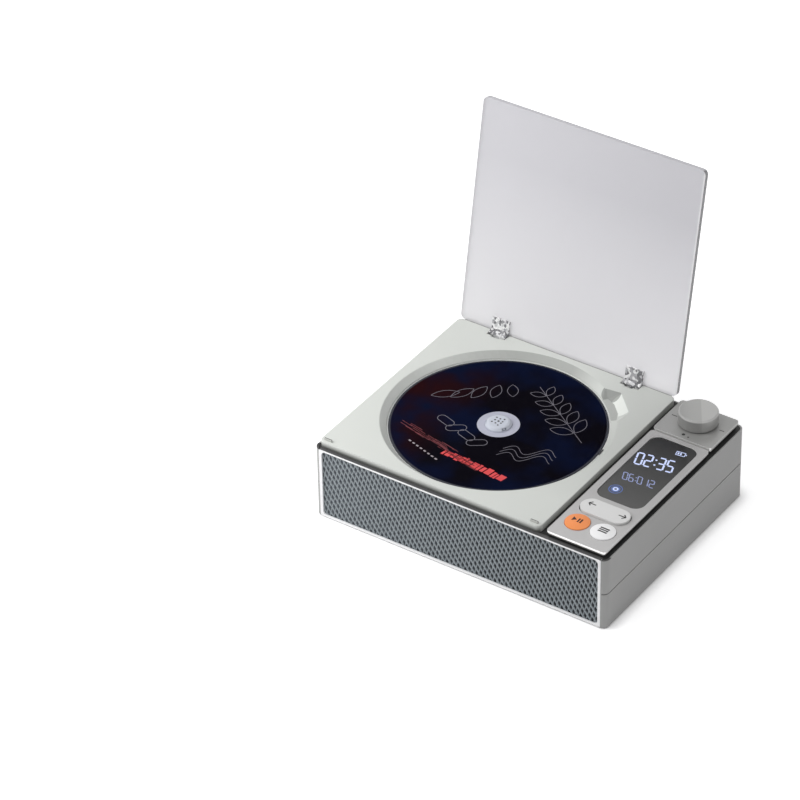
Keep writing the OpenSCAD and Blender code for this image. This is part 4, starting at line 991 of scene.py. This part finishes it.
def hub_dots():
    """Nine small dark dots on two circles and one in the middle, on top of the hub."""
    count, far, close, first = 9, 3.6, 2.3, 0.3
    dot, middle_dot = 0.55, 0.7
    cx = disc_place()[0]
    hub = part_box("turntable")[1].z / MM
    z0, z1 = hub - 0.02, hub + 0.01
    bm = bmesh.new()
    for k in range(count):
        a = 2 * math.pi * k / count + first
        r = far if k % 2 else close
        disc_shape(bm, (cx + r * math.cos(a), r * math.sin(a)), dot, z0, z1, 12)
    disc_shape(bm, (cx, 0), middle_dot, z0, z1, 14)
    piece("hub_dots", bm, "disc_drive", ink_black)


grille()
well_lining()
lid_foot_shade_strip()
display()
key_marks()
rocker_marks()
volume_marks()
label()
disc_rings()
hub_dots()


# Stage, lights and camera

def stage():
    """A white floor that lifts to pure white for the camera, except in the contact shadow."""
    half_size, drop = 3.0, 0.05 * MM
    contact_reach, contact_power, lift_strength = 7.0 * MM, 1.6, 0.60
    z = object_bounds()[0].z - drop
    bm = bmesh.new()
    bm.faces.new([bm.verts.new((x * half_size, y * half_size, z))
                  for x, y in ((-1, -1), (1, -1), (1, 1), (-1, 1))])
    mesh = bpy.data.meshes.new("floor")
    bm.to_mesh(mesh)
    bm.free()
    floor = bpy.data.objects.new("floor", mesh)
    bpy.context.scene.collection.objects.link(floor)
    material, tree, output = new_material("floor")
    diffuse = add_node(tree, "ShaderNodeBsdfDiffuse")
    diffuse.inputs["Color"].default_value = (0.92, 0.92, 0.92, 1)
    lift = add_node(tree, "ShaderNodeEmission")
    closeness = add_node(tree, "ShaderNodeAmbientOcclusion", samples=12)
    closeness.inputs["Distance"].default_value = contact_reach
    contact = combine(tree, "POWER", closeness.outputs["AO"], contact_power)
    amount = product(tree, seen_rays(tree), combine(tree, "MULTIPLY", contact, lift_strength))
    tree.links.new(amount, lift.inputs["Strength"])
    both = add_node(tree, "ShaderNodeAddShader")
    tree.links.new(diffuse.outputs[0], both.inputs[0])
    tree.links.new(lift.outputs[0], both.inputs[1])
    tree.links.new(both.outputs[0], output.inputs["Surface"])
    mesh.materials.append(material)
    floor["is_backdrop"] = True


def world():
    """Soft grey surroundings, brighter above, that are pure white where the camera sees them."""
    lit_strength = 0.52
    sky = bpy.data.worlds.new("studio")
    bpy.context.scene.world = sky
    sky.use_nodes = True
    tree = sky.node_tree
    tree.nodes.clear()
    output = add_node(tree, "ShaderNodeOutputWorld")
    coords = add_node(tree, "ShaderNodeTexCoord")
    split = add_node(tree, "ShaderNodeSeparateXYZ")
    tree.links.new(coords.outputs["Generated"], split.inputs[0])
    shade = add_node(tree, "ShaderNodeValToRGB")
    shade.color_ramp.elements[0].color = (0.42, 0.42, 0.43, 1)
    shade.color_ramp.elements[1].color = (0.86, 0.86, 0.87, 1)
    tree.links.new(ramp(tree, split.outputs["Z"], -0.1, 0.7), shade.inputs[0])
    lit = add_node(tree, "ShaderNodeBackground")
    lit.inputs["Strength"].default_value = lit_strength
    tree.links.new(shade.outputs[0], lit.inputs["Color"])
    white = add_node(tree, "ShaderNodeBackground")
    white.inputs["Color"].default_value = (1, 1, 1, 1)
    mix = add_node(tree, "ShaderNodeMixShader")
    tree.links.new(seen_rays(tree), mix.inputs[0])
    tree.links.new(lit.outputs[0], mix.inputs[1])
    tree.links.new(white.outputs[0], mix.inputs[2])
    tree.links.new(mix.outputs[0], output.inputs["Surface"])


def lamp(name, kind, energy, direction, size=0.0, angle=0.0):
    """A sun from a direction, or a square lamp at a place in metres that only lights."""
    sun_distance = 1.5
    data = bpy.data.lights.new(name, kind)
    data.energy = energy
    obj = bpy.data.objects.new(name, data)
    bpy.context.scene.collection.objects.link(obj)
    towards = Vector(direction).normalized()
    obj.rotation_mode = "QUATERNION"
    obj.rotation_quaternion = towards.to_track_quat("Z", "Y")
    if kind == "SUN":
        obj.location = towards * sun_distance
        data.angle = math.radians(angle)
    else:
        obj.location = Vector(direction)
        data.size = size
        obj.visible_camera = False
        obj.visible_glossy = False


def camera():
    """The camera that was fitted to the photo: place in mm, turn, tilt and roll in degrees."""
    spot = Vector((1002.56, -1557.33, 1413.72)) * MM
    azimuth, elevation, roll = (math.radians(turn) for turn in (34.928, 35.957, -1.216))
    data = bpy.data.cameras.new("camera")
    data.sensor_width = 36.0
    data.lens = 191.54
    data.clip_start = 0.05
    data.clip_end = 20.0
    obj = bpy.data.objects.new("camera", data)
    bpy.context.scene.collection.objects.link(obj)
    back = Vector((math.sin(azimuth) * math.cos(elevation),
                   -math.cos(azimuth) * math.cos(elevation), math.sin(elevation)))
    right = (-back).cross(Vector((0, 0, 1))).normalized()
    up = right.cross(-back)
    rolled_right = right * math.cos(roll) + up * math.sin(roll)
    rolled_up = -right * math.sin(roll) + up * math.cos(roll)
    matrix = Matrix((rolled_right, rolled_up, back)).transposed().to_4x4()
    matrix.translation = spot
    obj.matrix_world = matrix
    bpy.context.scene.camera = obj


stage()
world()
lamp("top", "SUN", 0.45, (-0.35, -0.30, 1.0), angle=25)
lamp("fill", "SUN", 0.30, (1.0, -0.45, 0.5), angle=40)
lamp("softbox", "AREA", 1.6, (-0.34, -0.24, 0.32), size=0.30)
camera()
scene = bpy.context.scene
scene.view_settings.view_transform = "Standard"
scene.view_settings.look = "None"
scene.view_settings.exposure = 0.0
scene.view_settings.gamma = 1.0
